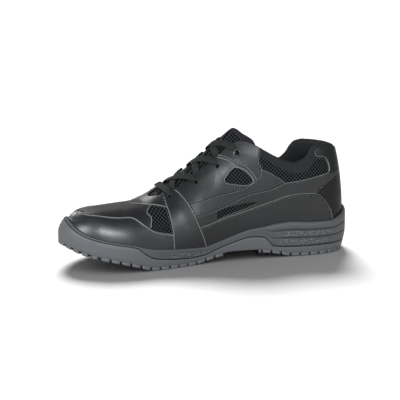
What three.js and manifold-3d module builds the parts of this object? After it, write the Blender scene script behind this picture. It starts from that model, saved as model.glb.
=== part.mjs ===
// Laced work shoe with a slip resistant sole, right foot, empty and standing on its sole.
// Millimetres, +Z up, heel at +X, toe at -X, medial (inner) side at -Y. The floor is z = 0.

import * as THREE from 'three';
import { mergeVertices } from 'three/addons/utils/BufferGeometryUtils.js';
import Module from 'manifold-3d';

const wasm = await Module();
wasm.setup();

// Driving sizes of the last and the sole
const length = 300;            // sole, heel to toe
const ballWidth = 103;         // sole across the ball of the foot
const heelWidth = 77;          // sole across the heel
const heelHeight = 109;        // top of the heel tab above the floor
const instepHeight = 123;      // crest of the instep below the top eyelets
const toeHeight = 60;          // top of the toe box above the floor
const soleHeel = 34;           // sole side wall under the heel
const soleBall = 20;           // sole side wall under the ball
const toeSpring = 24;          // lift of the tread at the toe tip
const lugDepth = 3;            // tread blocks

// Walls, covers and clearances
const gap = 0.3;               // between neighbouring pieces
const wall = 2.4;              // upper shell with its lining
const collarPad = 5.5;         // extra foam inside the collar
const cover = 1.0;             // leather pieces stitched over the shell
const strapCover = 1.2;        // saddle strap
const lip = 1.1;               // midsole wall behind the rubber
const rubber = 1.5;            // outsole wall that wraps up round the midsole
const outsoleFloor = 4;        // outsole thickness above the tread blocks
const insoleThickness = 4;
const tongueThickness = 6;
const tongueEdge = 3;
const eyeletWidth = 4.6;
const laceWidth = 6.5;
const laceThickness = 1.4;
const blockPitch = 24;         // tread blocks, from one to the next along the sole
const blockSpacing = 24;       // and across it
const blockGroove = 4;
const blockBevel = 0.3;        // tread blocks stand back from the tray's edge
const trayRound = 3;           // rounding under the tray's edge
const cupRound = 1;            // and under the foam cup's edge
const tongueGap = 1.0;         // soft tongue under the shell
const tongueTuck = 1.4;        // further down at its front end
const sideGroove = 1.0;        // grooves along the midsole's side
const foamStart = 4;           // row where the collar foam begins to thin out
const foamEnd = 5.5;           // row where it ends
const foamShare = 0.45;        // share of the wall's height above which it lies

// How far each layer stands out from the form of the upper
const lipInside = 2 * gap + strapCover;
const lipOutside = lipInside + lip;
const rubberInside = lipOutside + gap;
const edge = rubberInside + rubber;

// Rows of the last from heel to toe. at and crestAt are shares of the length, measured from the
// heel. medial and lateral are the sole's half widths and ridge the crest's place towards the
// medial side, as shares of the width that the rows follow. crest is the height of the rib's top
// as a share of the height that they follow, and full is how square the rib is, 2 being an ellipse.
const hindRows = [
  { at: 0.000, medial: 0.026, lateral: -0.026, crestAt: 0.210, crest: 1.475, ridge: 0.02, full: 2.30 },
  { at: 0.017, medial: 0.292, lateral: 0.240, crestAt: 0.217, crest: 1.468, ridge: 0.02, full: 2.30 },
  { at: 0.067, medial: 0.448, lateral: 0.396, crestAt: 0.240, crest: 1.440, ridge: 0.01, full: 2.25 },
  { at: 0.137, medial: 0.516, lateral: 0.468, crestAt: 0.277, crest: 1.385, ridge: 0.00, full: 2.20 },
  { at: 0.210, medial: 0.513, lateral: 0.481, crestAt: 0.330, crest: 1.310, ridge: 0.00, full: 2.20 },
  { at: 0.287, medial: 0.491, lateral: 0.487, crestAt: 0.377, crest: 1.225, ridge: 0.00, full: 2.30 },
];
const midRows = [
  { at: 0.363, medial: 0.350, lateral: 0.378, crestAt: 0.428, crest: 0.990, ridge: 0.00, full: 2.45 },
  { at: 0.440, medial: 0.349, lateral: 0.407, crestAt: 0.487, crest: 0.868, ridge: 0.00, full: 2.50 },
  { at: 0.513, medial: 0.377, lateral: 0.446, crestAt: 0.547, crest: 0.745, ridge: 0.01, full: 2.50 },
  { at: 0.587, medial: 0.425, lateral: 0.480, crestAt: 0.610, crest: 0.640, ridge: 0.02, full: 2.45 },
  { at: 0.660, medial: 0.474, lateral: 0.500, crestAt: 0.673, crest: 0.560, ridge: 0.03, full: 2.35 },
];
const toeRows = [
  { at: 0.730, medial: 0.500, lateral: 0.495, crestAt: 0.733, crest: 1.050, ridge: 0.04, full: 2.30 },
  { at: 0.800, medial: 0.495, lateral: 0.461, crestAt: 0.793, crest: 1.020, ridge: 0.05, full: 2.35 },
  { at: 0.867, medial: 0.451, lateral: 0.393, crestAt: 0.843, crest: 1.000, ridge: 0.05, full: 2.45 },
  { at: 0.925, medial: 0.364, lateral: 0.291, crestAt: 0.880, crest: 0.992, ridge: 0.05, full: 2.50 },
  { at: 0.972, medial: 0.233, lateral: 0.146, crestAt: 0.903, crest: 0.985, ridge: 0.05, full: 2.50 },
  { at: 1.000, medial: 0.049, lateral: -0.049, crestAt: 0.913, crest: 0.980, ridge: 0.05, full: 2.50 },
];

// Edge of the upper on each side, as a share of the height of the rib's top: 1 is the closed
// crest. row counts along the rows above, so a whole number is a row.
const rimRows = [
  { row: 0.0, medial: 0.665, lateral: 0.665 },
  { row: 1.0, medial: 0.677, lateral: 0.670 },
  { row: 2.0, medial: 0.695, lateral: 0.684 },
  { row: 2.4, medial: 0.695, lateral: 0.688 },
  { row: 2.7, medial: 0.676, lateral: 0.683 },
  { row: 3.0, medial: 0.645, lateral: 0.660 },
  { row: 3.3, medial: 0.628, lateral: 0.620 },
  { row: 3.7, medial: 0.626, lateral: 0.593 },
  { row: 4.0, medial: 0.646, lateral: 0.590 },
  { row: 4.5, medial: 0.706, lateral: 0.625 },
  { row: 5.0, medial: 0.795, lateral: 0.713 },
  { row: 5.5, medial: 0.895, lateral: 0.845 },
  { row: 5.9, medial: 0.945, lateral: 0.930 },
  { row: 6.3, medial: 0.955, lateral: 0.955 },
  { row: 9.0, medial: 0.955, lateral: 0.955 },
  { row: 9.8, medial: 0.970, lateral: 0.970 },
  { row: 10.2, medial: 0.990, lateral: 0.990 },
  { row: 10.4, medial: 1.000, lateral: 1.000 },
  { row: 16.0, medial: 1.000, lateral: 1.000 },
];

// Heights of the sole by station along the length. under is the tread, wrap the rubber's top
// edge, bite the edge against the upper and bed the floor inside. ball rows are shares of
// soleBall, heel rows of soleHeel, and toe rows stand on toeSpring.
const soleRows = [
  { at: 0.000, of: soleHeel, under: 0.06, wrap: 0.28, bite: 1.28, bed: 0.88, groove: 0.3 },
  { at: 0.030, of: soleHeel, under: 0.01, wrap: 0.28, bite: 1.12, bed: 0.86, groove: 0.8 },
  { at: 0.080, of: soleHeel, under: 0.00, wrap: 0.28, bite: 0.99, bed: 0.84, groove: 1.0 },
  { at: 0.170, of: soleHeel, under: 0.00, wrap: 0.28, bite: 1.01, bed: 0.84, groove: 1.0 },
  { at: 0.230, of: soleHeel, under: 0.02, wrap: 0.29, bite: 1.05, bed: 0.85, groove: 1.0 },
  { at: 0.290, of: soleHeel, under: 0.12, wrap: 0.33, bite: 1.00, bed: 0.80, groove: 0.7 },
  { at: 0.325, of: soleHeel, under: 0.16, wrap: 0.62, bite: 0.94, bed: 0.76, groove: 0.2 },
  { at: 0.370, of: soleHeel, under: 0.18, wrap: 0.65, bite: 0.89, bed: 0.71, groove: 0.0 },
  { at: 0.430, of: soleBall, under: 0.31, wrap: 0.90, bite: 1.26, bed: 1.03, groove: 0.0 },
  { at: 0.490, of: soleBall, under: 0.23, wrap: 0.64, bite: 0.98, bed: 0.82, groove: 0.1 },
  { at: 0.535, of: soleBall, under: 0.11, wrap: 0.43, bite: 0.84, bed: 0.70, groove: 0.3 },
  { at: 0.580, of: soleBall, under: 0.00, wrap: 0.38, bite: 0.87, bed: 0.70, groove: 0.3 },
  { at: 0.710, of: soleBall, under: 0.00, wrap: 0.56, bite: 1.05, bed: 0.75, groove: 0.2 },
  { at: 0.745, of: soleBall, under: 0.10, wrap: 0.82, bite: 1.16, bed: 0.82, groove: 0.0 },
  { at: 0.775, of: toeSpring, under: 0.19, wrap: 0.98, bite: 1.08, bed: 0.76, groove: 0.0 },
  { at: 0.850, of: toeSpring, under: 0.42, wrap: 1.17, bite: 1.26, bed: 0.92, groove: 0.0 },
  { at: 0.910, of: toeSpring, under: 0.58, wrap: 1.34, bite: 1.44, bed: 1.06, groove: 0.0 },
  { at: 0.955, of: toeSpring, under: 0.76, wrap: 1.58, bite: 1.70, bed: 1.20, groove: 0.0 },
  { at: 0.985, of: toeSpring, under: 0.93, wrap: 1.84, bite: 1.96, bed: 1.30, groove: 0.0 },
  { at: 1.000, of: toeSpring, under: 1.00, wrap: 1.96, bite: 2.08, bed: 1.34, groove: 0.0 },
];

// The ring of ribs: medial side from heel to toe, then back along the lateral side
const rows = [
  ...hindRows.map((row) => ({ ...row, width: heelWidth, height: heelHeight })),
  ...midRows.map((row) => ({ ...row, width: ballWidth, height: instepHeight })),
  ...toeRows.map((row) => ({ ...row, width: ballWidth, height: toeHeight })),
];
const toeRow = rows.length - 1;
const ringLength = 2 * toeRow;
const ringRows = Array.from({ length: ringLength }, (_, i) => {
  const medial = i <= toeRow;
  const row = rows[medial ? i : ringLength - i];
  return { ...row, side: medial ? -row.medial : row.lateral };
});
const outlineCurve = new THREE.CatmullRomCurve3(
  ringRows.map((row) => new THREE.Vector3(row.at * length, row.side * row.width, row.full)),
  true, 'catmullrom', 0.5);
const crestCurve = new THREE.CatmullRomCurve3(
  ringRows.map((row) => new THREE.Vector3(row.crestAt * length, -row.ridge * row.width,
    row.crest * row.height)),
  true, 'catmullrom', 0.5);

// Value of a column at a place between the rows, without overshoot
function between(table, key, column, place) {
  const last = table.length - 1;
  let i = 0;
  while (i < last - 1 && place > table[i + 1][key]) i += 1;
  const slope = (k) => (table[k + 1][column] - table[k][column]) / (table[k + 1][key] - table[k][key]);
  const tangent = (k) => {
    if (k === 0 || k === last) return 0;
    const before = slope(k - 1);
    const after = slope(k);
    return before * after > 0 ? 2 * before * after / (before + after) : 0;
  };
  const span = table[i + 1][key] - table[i][key];
  const t = THREE.MathUtils.clamp((place - table[i][key]) / span, 0, 1);
  const rise = table[i + 1][column] - table[i][column];
  return table[i][column] + rise * t * t * (3 - 2 * t)
    + span * t * (1 - t) * ((1 - t) * tangent(i) - t * tangent(i + 1));
}

// Sole height at a station, in millimetres
const soleHeights = soleRows.map((row) => ({
  at: row.at, under: row.under * row.of, wrap: row.wrap * row.of, bite: row.bite * row.of,
  bed: row.bed * row.of, groove: row.groove,
}));
const soleHeight = (column, station) => between(soleHeights, 'at', column, station / length);

const wrapRing = (p) => ((p % ringLength) + ringLength) % ringLength;
const ringPlace = (p) => wrapRing(p) / ringLength;

// Plan outline of the sole at ring place p: a point and its outward direction
function outline(p) {
  const point = outlineCurve.getPoint(ringPlace(p));
  const along = outlineCurve.getPoint(ringPlace(p + 0.01)).sub(outlineCurve.getPoint(ringPlace(p - 0.01)));
  const out = new THREE.Vector2(along.y, -along.x).normalize();
  return { station: point.x, y: point.y, full: point.z, out };
}

const radians = THREE.MathUtils.degToRad;
const same = (value) => () => value;

// Point of the last at ring place p and angle round the rib, 0 at the sole and 90 at the crest
function lastPoint(p, angle) {
  const base = outline(p);
  const crest = crestCurve.getPoint(ringPlace(p));
  const power = 2 / base.full;
  const inward = 1 - Math.pow(Math.max(Math.cos(radians(angle)), 0), power);
  const upward = Math.pow(Math.sin(radians(angle)), power);
  const x = base.station - edge * base.out.x;
  const y = base.y - edge * base.out.y;
  const z = soleHeight('bed', base.station);
  return new THREE.Vector3(x + (crest.x - x) * inward, y + (crest.y - y) * inward,
    z + (crest.z - z) * upward);
}

// Outward direction of the last there
function lastNormal(p, angle) {
  const a = THREE.MathUtils.clamp(angle, 0, 89);
  const round = lastPoint(p + 0.02, a).sub(lastPoint(p - 0.02, a));
  const up = lastPoint(p, Math.min(a + 1, 90)).sub(lastPoint(p, Math.max(a - 0.5, 0)));
  return round.cross(up).normalize();
}

// Point that stands out from the last. Both sides share one point on the closed crest.
function formPoint(p, angle, out) {
  const closed = angle > 89.9;
  const place = closed ? Math.min(wrapRing(p), ringLength - wrapRing(p)) : p;
  const normal = lastNormal(place, angle);
  if (closed) normal.add(lastNormal(ringLength - place, angle)).normalize();
  return lastPoint(place, angle).addScaledVector(normal, out);
}

// Angle round the rib at which the last reaches a height
function angleAt(p, height) {
  const base = outline(p);
  const bed = soleHeight('bed', base.station);
  const crest = crestCurve.getPoint(ringPlace(p)).z;
  const share = THREE.MathUtils.clamp((height - bed) / (crest - bed), 0, 1);
  return THREE.MathUtils.radToDeg(Math.asin(Math.pow(share, base.full / 2)));
}

// Point of a side wall at a height, standing out from the last or from the outline below it
function wallPoint(p, height, out) {
  const base = outline(p);
  if (height > soleHeight('bed', base.station)) {
    const angle = angleAt(p, height);
    const point = lastPoint(p, angle).addScaledVector(lastNormal(p, angle), out);
    point.z = height;
    return point;
  }
  return new THREE.Vector3(base.station + (out - edge) * base.out.x,
    base.y + (out - edge) * base.out.y, height);
}

// Angle round the rib at which the upper ends
function rimAngle(p) {
  const q = wrapRing(p);
  const share = q <= toeRow ? between(rimRows, 'row', 'medial', q)
    : between(rimRows, 'row', 'lateral', ringLength - q);
  return angleAt(p, share * crestCurve.getPoint(ringPlace(p)).z);
}

// Places of the columns of facets, closer together at the toe, the heel and the throat
const rowSteps = [2, 3, 2, 2, 2, 2, 1, 1, 1, 1, 2, 1, 1, 2, 2, 3];
const medialPlaces = rowSteps.flatMap((steps, row) =>
  Array.from({ length: steps }, (_, i) => row + i / steps));
const places = [...medialPlaces, toeRow, ...medialPlaces.slice(1).reverse().map((p) => ringLength - p)];
const columns = places.length;

// Turn from stations measured from the heel to the part's own frame, centred on the sole
const reach = places.map((p) => outline(p));
const middle = (values) => (Math.max(...values) + Math.min(...values)) / 2;
const middleStation = middle(reach.map((r) => r.station));
const middleSide = middle(reach.map((r) => r.y));
const toFrame = (v) => new THREE.Vector3(middleStation - v.x, v.y - middleSide, v.z);

// Closed mesh from points and faces, with shared points merged
function closedMesh(points, faces) {
  const geometry = new THREE.BufferGeometry();
  geometry.setAttribute('position', new THREE.Float32BufferAttribute(points.flatMap((v) => [v.x, v.y, v.z]), 3));
  geometry.setIndex(faces.flat());
  const merged = mergeVertices(geometry, 1e-4);
  const index = merged.index.array;
  const kept = [];
  for (let i = 0; i < index.length; i += 3) {
    const [a, b, c] = [index[i], index[i + 1], index[i + 2]];
    if (a !== b && b !== c && a !== c) kept.push(a, b, c);
  }
  merged.setIndex(kept);
  return merged;
}

// The same for points measured from the heel. The frame runs the other way along the foot, so
// the faces turn round.
const meshFrom = (points, faces) => closedMesh(points.map(toFrame), faces.map(([a, b, c]) => [a, c, b]));

const quad = (a, b, c, d) => [[a, b, c], [a, c, d]];

// Facets between two rings. Each diagonal runs from the lower ring to the next column of the
// upper one, so that neighbouring walls have the same folds.
function strip(from, to, goesUp) {
  const faces = [];
  for (let i = 0; i < columns; i += 1) {
    const next = (i + 1) % columns;
    const [a, b, c, d] = [from + i, from + next, to + next, to + i];
    faces.push(quad(...(goesUp(i) ? [a, b, c, d] : [b, c, d, a])));
  }
  return faces;
}

// Solid between stacked rings, closed across the foot at the first and the last ring
function stack(rings) {
  const faces = [];
  for (let r = 0; r < rings.length - 1; r += 1) {
    const goesUp = (i) => rings[r + 1][i].z > rings[r][i].z;
    faces.push(...strip(r * columns, (r + 1) * columns, goesUp).flat());
  }
  const top = (rings.length - 1) * columns;
  for (let i = 0; i < columns / 2; i += 1) {
    const partner = (k) => (columns - k) % columns;
    faces.push(...quad(partner(i + 1), i + 1, i, partner(i)));
    faces.push(...quad(top + i, top + i + 1, top + partner(i + 1), top + partner(i)));
  }
  return meshFrom(rings.flat(), faces);
}

// Ring of a side wall: height and reach are functions of the station
const ring = (height, out) => places.map((p) => {
  const { station } = outline(p);
  return wallPoint(p, height(station), out(station));
});

// Shell of the upper between two distances from the last, from a lowest angle up to its edge.
// roll rounds the open edge by pushing its middle on past the last facet.
function shell({ steps, inside, outside, lowest, roll }) {
  const outer = [];
  const inner = [];
  for (let j = 0; j <= steps; j += 1) {
    const share = j / steps;
    const angle = (p) => lowest(p) + (rimAngle(p) - lowest(p)) * share;
    outer.push(places.map((p) => formPoint(p, angle(p), outside(p, share))));
    inner.push(places.map((p) => formPoint(p, angle(p), inside(p, share))));
  }
  const isClosed = places.map((p) => rimAngle(p) > 89.9);
  const rim = places.map((p, i) => {
    const a = outer[steps][i];
    const b = inner[steps][i];
    const on = a.clone().sub(outer[steps - 1][i]).normalize();
    const push = isClosed[i] ? 0 : roll * a.distanceTo(b);
    return a.clone().add(b).multiplyScalar(0.5).addScaledVector(on, push);
  });
  const rings = [...outer, rim, ...inner.reverse()];
  const faces = [];
  for (let r = 0; r < rings.length; r += 1) {
    const atEdge = r === steps || r === steps + 1;
    const quads = strip(r * columns, ((r + 1) % rings.length) * columns, () => r <= steps);
    faces.push(...quads.filter((_, i) => !(atEdge && isClosed[i] && isClosed[(i + 1) % columns])).flat());
  }
  return meshFrom(rings.flat(), faces);
}

// Solids to cut and join with
function solid(geometry) {
  const bare = geometry.clone();
  bare.deleteAttribute('normal');
  bare.deleteAttribute('uv');
  const merged = mergeVertices(bare, 1e-4);
  return new wasm.Manifold(new wasm.Mesh({
    numProp: 3,
    vertProperties: new Float32Array(merged.attributes.position.array),
    triVerts: new Uint32Array(merged.index.array),
  }));
}

function geometryOf(body) {
  const mesh = body.getMesh();
  const geometry = new THREE.BufferGeometry();
  geometry.setAttribute('position', new THREE.BufferAttribute(new Float32Array(mesh.vertProperties), 3));
  geometry.setIndex(new THREE.BufferAttribute(new Uint32Array(mesh.triVerts), 1));
  return geometry;
}

const group = new THREE.Group();
function piece(name, geometry, colour, roughness) {
  const mesh = new THREE.Mesh(geometry, new THREE.MeshStandardMaterial({ color: colour, roughness, metalness: 0 }));
  mesh.name = name;
  group.add(mesh);
}

const height = (column) => (station) => soleHeight(column, station);
const above = (column, rise) => (station) => soleHeight(column, station) + rise;
const halfway = (low, high) => (station) => (low(station) + high(station)) / 2;
const sideWall = (share) => (station) => THREE.MathUtils.lerp(
  soleHeight('wrap', station) + gap, soleHeight('bite', station), share);
const lipWall = (share) => (station) => THREE.MathUtils.lerp(
  soleHeight('bed', station), soleHeight('bite', station), share);
const grooveDepth = (station) => sideGroove * between(soleHeights, 'at', 'groove', station / length);
const rowOf = (p) => Math.min(wrapRing(p), ringLength - wrapRing(p));

// Upper: one shell with foam inside its collar
const shellSteps = 5;
function upperWall(p, share) {
  const collar = 1 - THREE.MathUtils.smoothstep(rowOf(p), foamStart, foamEnd);
  return -wall - collarPad * collar * THREE.MathUtils.smoothstep(share, foamShare, 0.9);
}
const upper = solid(shell({
  steps: shellSteps, inside: upperWall, outside: same(0), lowest: same(0), roll: 0.5,
}));

// Covers: cut out of a layer that lies a gap above the upper, between its seams
const layer = (thickness) => solid(shell({
  steps: shellSteps, inside: same(gap), outside: same(gap + thickness), lowest: same(0), roll: 0,
}));
const coverLayer = layer(cover);
const strapLayer = layer(strapCover);

// Seams as places on the last: the row, and the angle round the rib from the sole
const at = (row, angle) => ({ row, angle });
const seams = {
  strapFront: [at(9.73, 0), at(9.73, 16), at(9.78, 30), at(9.83, 51), at(9.80, 66)],
  strapBack: [at(8.15, 0), at(8.30, 6), at(8.58, 19), at(8.88, 38), at(9.08, 52), at(9.25, 66)],
  toeGuard: [at(16, 77), at(15.6, 74), at(14.6, 61), at(13.9, 56), at(12.6, 49), at(11.7, 47.5),
    at(11.1, 34), at(10.6, 24), at(9.73, 16)],
  throat: [at(11.4, 89), at(10.7, 68), at(9.82, 48)],
  bandTop: [at(8.88, 38), at(7.4, 30), at(6.6, 26), at(6.0, 26), at(5.5, 30), at(5.38, 34)],
  bandBottom: [at(8.67, 24), at(7.35, 20), at(6.0, 20), at(5.1, 20), at(4.4, 22)],
  bandEnd: [at(5.38, 34), at(5.0, 30), at(4.7, 26), at(4.4, 22)],
  collarFront: [at(5.38, 34), at(5.45, 40), at(5.2, 50)],
  collarBottom: [at(4.4, 22), at(3.65, 22), at(2.85, 22), at(2.05, 22)],
  collarBack: [at(2.05, 22), at(1.98, 25), at(2.15, 29.5), at(2.65, 32)],
  quarterTop: [at(8.46, 13), at(7.5, 12), at(6.2, 11), at(5.1, 13), at(4.05, 15), at(3.05, 14)],
  quarterBack: [at(3.05, 14), at(2.75, 12), at(2.25, 6), at(1.95, 0)],
  counterTop: [at(3.05, 14), at(2.75, 16), at(2.3, 18), at(1.6, 20)],
  counterBack: [at(1.6, 20), at(0.8, 21), at(0, 21)],
};
const windows = {
  eyestay: [at(6.9, 36), at(6.95, 40), at(6.5, 44.5), at(6.2, 41), at(5.8, 29), at(5.95, 27),
    at(6.3, 29)],
  quarter: [at(7.5, 14.5), at(7.5, 18.5), at(6.7, 18), at(6.0, 17.5), at(5.8, 15), at(6.1, 13)],
};

// Side view of a line of places: x and z on the medial or the lateral side
function sideLine(line, isMedial) {
  const points = line.map(({ row, angle }) => toFrame(lastPoint(isMedial ? row : ringLength - row, angle)));
  return new THREE.CatmullRomCurve3(points).getPoints(line.length - 1)
    .map((v) => new THREE.Vector2(v.x, v.z));
}

// Outline moved inwards by a distance, so that neighbours cut by one seam stay apart
function inset(points, distance) {
  const turned = THREE.ShapeUtils.area(points) < 0 ? [...points].reverse() : points;
  const corners = turned.filter((v, i) => v.distanceTo(turned[(i + 1) % turned.length]) > 0.01);
  const count = corners.length;
  return corners.map((v, i) => {
    const before = v.clone().sub(corners[(i + count - 1) % count]).normalize();
    const after = corners[(i + 1) % count].clone().sub(v).normalize();
    const normal = new THREE.Vector2(-before.y - after.y, before.x + after.x).normalize();
    const turn = Math.max(normal.dot(new THREE.Vector2(-before.y, before.x)), 0.4);
    return v.clone().addScaledVector(normal, distance / turn);
  });
}

// Prism across the shoe from its side outline, on one side of the middle and a little past it
const overMiddle = 0.2;
function prism(points, isMedial) {
  const depth = ballWidth + overMiddle;
  const body = new THREE.ExtrudeGeometry(new THREE.Shape(points), { depth, bevelEnabled: false });
  body.rotateX(Math.PI / 2);
  body.translate(0, isMedial ? overMiddle : depth - overMiddle, 0);
  return solid(body);
}

// Outlines of the covers on one side, each walked round along its seams. Where a cover reaches
// the edge of the layer, its outline runs on well past it.
const high = 2 * heelHeight;
const low = -heelHeight;
const corner = (x, z) => [new THREE.Vector2(x, z)];
const reversed = (points) => [...points].reverse();
function coverOutlines(isMedial) {
  const line = Object.fromEntries(Object.entries(seams)
    .map(([name, seam]) => [name, sideLine(seam, isMedial)]));
  const first = (name) => line[name][0];
  const last = (name) => line[name].at(-1);
  const part = (name, from, to) => line[name].filter((v) => v.y > from + 0.5 && v.y < to - 0.5);
  return {
    strap: [...line.strapFront, ...corner(last('strapFront').x, high), ...corner(last('strapBack').x, high),
      ...reversed(line.strapBack), ...corner(first('strapBack').x, low), ...corner(first('strapFront').x, low)],
    toeGuard: [...line.toeGuard, ...reversed(part('strapFront', low, last('toeGuard').y)),
      ...corner(first('strapFront').x, low), ...corner(-length, low), ...corner(-length, high),
      ...corner(first('toeGuard').x, high)],
    throat: [...line.throat, ...part('strapFront', last('throat').y, high),
      ...corner(last('strapFront').x, high), ...corner(first('throat').x, high)],
    eyestay: [...line.bandTop, ...line.collarFront, ...corner(last('collarFront').x, high),
      ...corner(last('strapBack').x, high), ...reversed(part('strapBack', first('bandTop').y, high))],
    band: [...line.bandTop, ...line.bandEnd, ...reversed(line.bandBottom),
      ...part('strapBack', first('bandBottom').y, first('bandTop').y)],
    quarter: [...line.bandBottom, ...line.collarBottom, ...reversed(line.counterTop),
      ...reversed(line.quarterTop), ...part('strapBack', first('quarterTop').y, first('bandBottom').y)],
    lowerQuarter: [...line.quarterTop, ...line.quarterBack, ...corner(last('quarterBack').x, low),
      ...corner(first('strapBack').x, low), ...part('strapBack', low, first('quarterTop').y)],
    counter: [...line.counterTop, ...line.counterBack, ...corner(length, last('counterBack').y),
      ...corner(length, low), ...corner(last('quarterBack').x, low), ...reversed(line.quarterBack)],
    heelTab: [last('counterTop'), ...line.counterBack, ...corner(length, last('counterBack').y),
      ...corner(length, high), ...corner(last('collarBack').x, high), ...reversed(line.collarBack)],
  };
}

// One cover on one side, with any window cut out of it
function coverHalf(name, isMedial, source, window) {
  let half = source.intersect(prism(inset(coverOutlines(isMedial)[name], gap / 2), isMedial));
  if (window) half = half.subtract(prism(inset(sideLine([...window, window[0]], isMedial), 0), isMedial));
  return half;
}
const whole = (name) => coverHalf(name, true, coverLayer).add(coverHalf(name, false, coverLayer));

// Round holes for the lace, square to the upper
function eyeletHole(place, isMedial) {
  const row = isMedial ? place.row : ringLength - place.row;
  const from = toFrame(formPoint(row, place.angle, -2 * wall));
  const to = toFrame(formPoint(row, place.angle, 3 * wall));
  const path = new THREE.LineCurve3(from, to);
  const section = new THREE.Shape().absarc(0, 0, eyeletWidth / 2, 0, 2 * Math.PI, false);
  return solid(new THREE.ExtrudeGeometry(section, { extrudePath: path, steps: 1, curveSegments: 5, bevelEnabled: false }));
}
const eyelets = [at(9.55, 62), at(8.25, 58), at(7.15, 57), at(6.2, 56)];
const holes = [true, false].flatMap((isMedial) => eyelets.map((place) => eyeletHole(place, isMedial)));
const withHoles = (body) => holes.reduce((result, hole) => result.subtract(hole), body);

// Just short of the crest, where a piece that isn't closed over it still has its own side
const crestAngle = 89.8;

// Tongue: padded strip under the throat, thin at its sides, that rises between the eyestays
const tongueRows = [10.5, 10, 9, 8, 7, 6, 5.5];
const tongueAngles = [50, 59, 67, 75, 82, crestAngle];
function tongue() {
  const across = [...tongueAngles.map((angle) => at(1, angle)),
    ...reversed(tongueAngles.slice(0, -1)).map((angle) => at(-1, angle))];
  const place = (row, { row: side, angle }, out) => toFrame(
    formPoint(side > 0 ? row : ringLength - row, angle, out));
  const under = (row, angle) => upperWall(row, Math.min(angle / rimAngle(row), 1)) - tongueGap
    - tongueTuck * THREE.MathUtils.smoothstep(row, 8.5, 10);
  const rise = (row, angle) => (wall + tongueGap) * THREE.MathUtils.smoothstep(angle, 74, 83)
    * (1 - THREE.MathUtils.smoothstep(row, 8, 9));
  const thick = (angle) => THREE.MathUtils.lerp(tongueEdge, tongueThickness,
    THREE.MathUtils.smoothstep(angle, 52, 76));
  const top = (row, angle) => under(row, angle) + rise(row, angle);
  const points = tongueRows.flatMap((row) => [
    ...across.map((c) => place(row, c, top(row, c.angle) - thick(c.angle))),
    ...reversed(across).map((c) => place(row, c, top(row, c.angle))),
  ]);
  return loftFrom(points, 2 * across.length);
}

// Closed solid from equal sections in one list, with flat ends
function loftFrom(points, count) {
  const sections = points.length / count;
  const faces = [];
  for (let r = 0; r < sections - 1; r += 1) {
    for (let i = 0; i < count; i += 1) {
      const next = (i + 1) % count;
      faces.push(...quad(r * count + i, r * count + next, (r + 1) * count + next, (r + 1) * count + i));
    }
  }
  const end = (sections - 1) * count;
  for (let i = 0; i < count / 2 - 1; i += 1) {
    faces.push(...quad(i, count - 1 - i, count - 2 - i, i + 1));
    faces.push(...quad(end + i, end + i + 1, end + count - 2 - i, end + count - 1 - i));
  }
  return closedMesh(points, faces);
}

// Lace: flat crossings between the eyelets, joined where they cross and at the eyelets
const laceSteps = 5;
const laceOverlap = 0.9;       // rise of the upper lace over the lower, in thicknesses
const laceRest = gap + Math.max(cover, strapCover) + 2 * gap;
function crossing(start, finish, lift) {
  const points = [];
  for (let i = 0; i <= laceSteps; i += 1) {
    const share = i / laceSteps;
    const isMedial = share < 0.5;
    const inward = 1 - Math.abs(1 - 2 * share);
    const row = THREE.MathUtils.lerp(start.row, finish.row, share);
    const angle = THREE.MathUtils.lerp(start.angle, crestAngle, THREE.MathUtils.smoothstep(inward, 0, 1));
    const p = isMedial ? row : ringLength - row;
    const out = laceRest + lift * THREE.MathUtils.smoothstep(inward, 0.2, 0.9);
    const ahead = lastPoint(p + (isMedial ? 0.2 : -0.2), angle).sub(lastPoint(p, angle)).normalize();
    const under = formPoint(p, angle, out);
    const over = formPoint(p, angle, out + laceThickness);
    const section = [[under, -1], [under, 1], [over, 1], [over, -1]];
    points.push(...section.map(([point, side]) =>
      toFrame(point.clone().addScaledVector(ahead, side * laceWidth / 2))));
  }
  return solid(loftFrom(points, 4));
}
let laces = crossing(eyelets[0], eyelets[0], 0);
for (let i = 1; i < eyelets.length; i += 1) {
  laces = laces.add(crossing(eyelets[i - 1], eyelets[i], 0))
    .add(crossing(eyelets[i], eyelets[i - 1], laceThickness * laceOverlap));
}

// Top of the outsole's floor, kept under the rubber's upper edge where the tread comes near it
const floorTop = (station) => Math.min(soleHeight('under', station) + lugDepth + outsoleFloor,
  soleHeight('wrap', station) - rubber);

// Side of the foam cup, from the rubber's edge to the bite line, as shares of its height. back is
// how far it stands back from the edge. A groove's depth follows the sole's table.
const cupSide = [
  { share: 0.02, back: same(0.4) }, { share: 0.30, back: same(0) },
  { share: 0.36, back: grooveDepth }, { share: 0.42, back: same(0) },
  { share: 0.61, back: same(0) }, { share: 0.67, back: grooveDepth },
  { share: 0.73, back: same(0) }, { share: 0.95, back: same(0.6) },
];
const cupLip = [1, 0.75, 0.5, 0.25];
const midsole = stack([
  ring((station) => floorTop(station) + gap, same(lipOutside - cupRound)),
  ring(halfway(floorTop, height('wrap')), same(lipOutside)),
  ring(height('wrap'), same(lipOutside)),
  ring(sideWall(0), same(lipOutside)),
  ...cupSide.map(({ share, back }) => ring(sideWall(share), (station) => edge - back(station))),
  ...cupLip.map((share) => ring(lipWall(share), same(lipInside))),
  ring(above('bed', -gap), same(lipInside)),
]);

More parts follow.
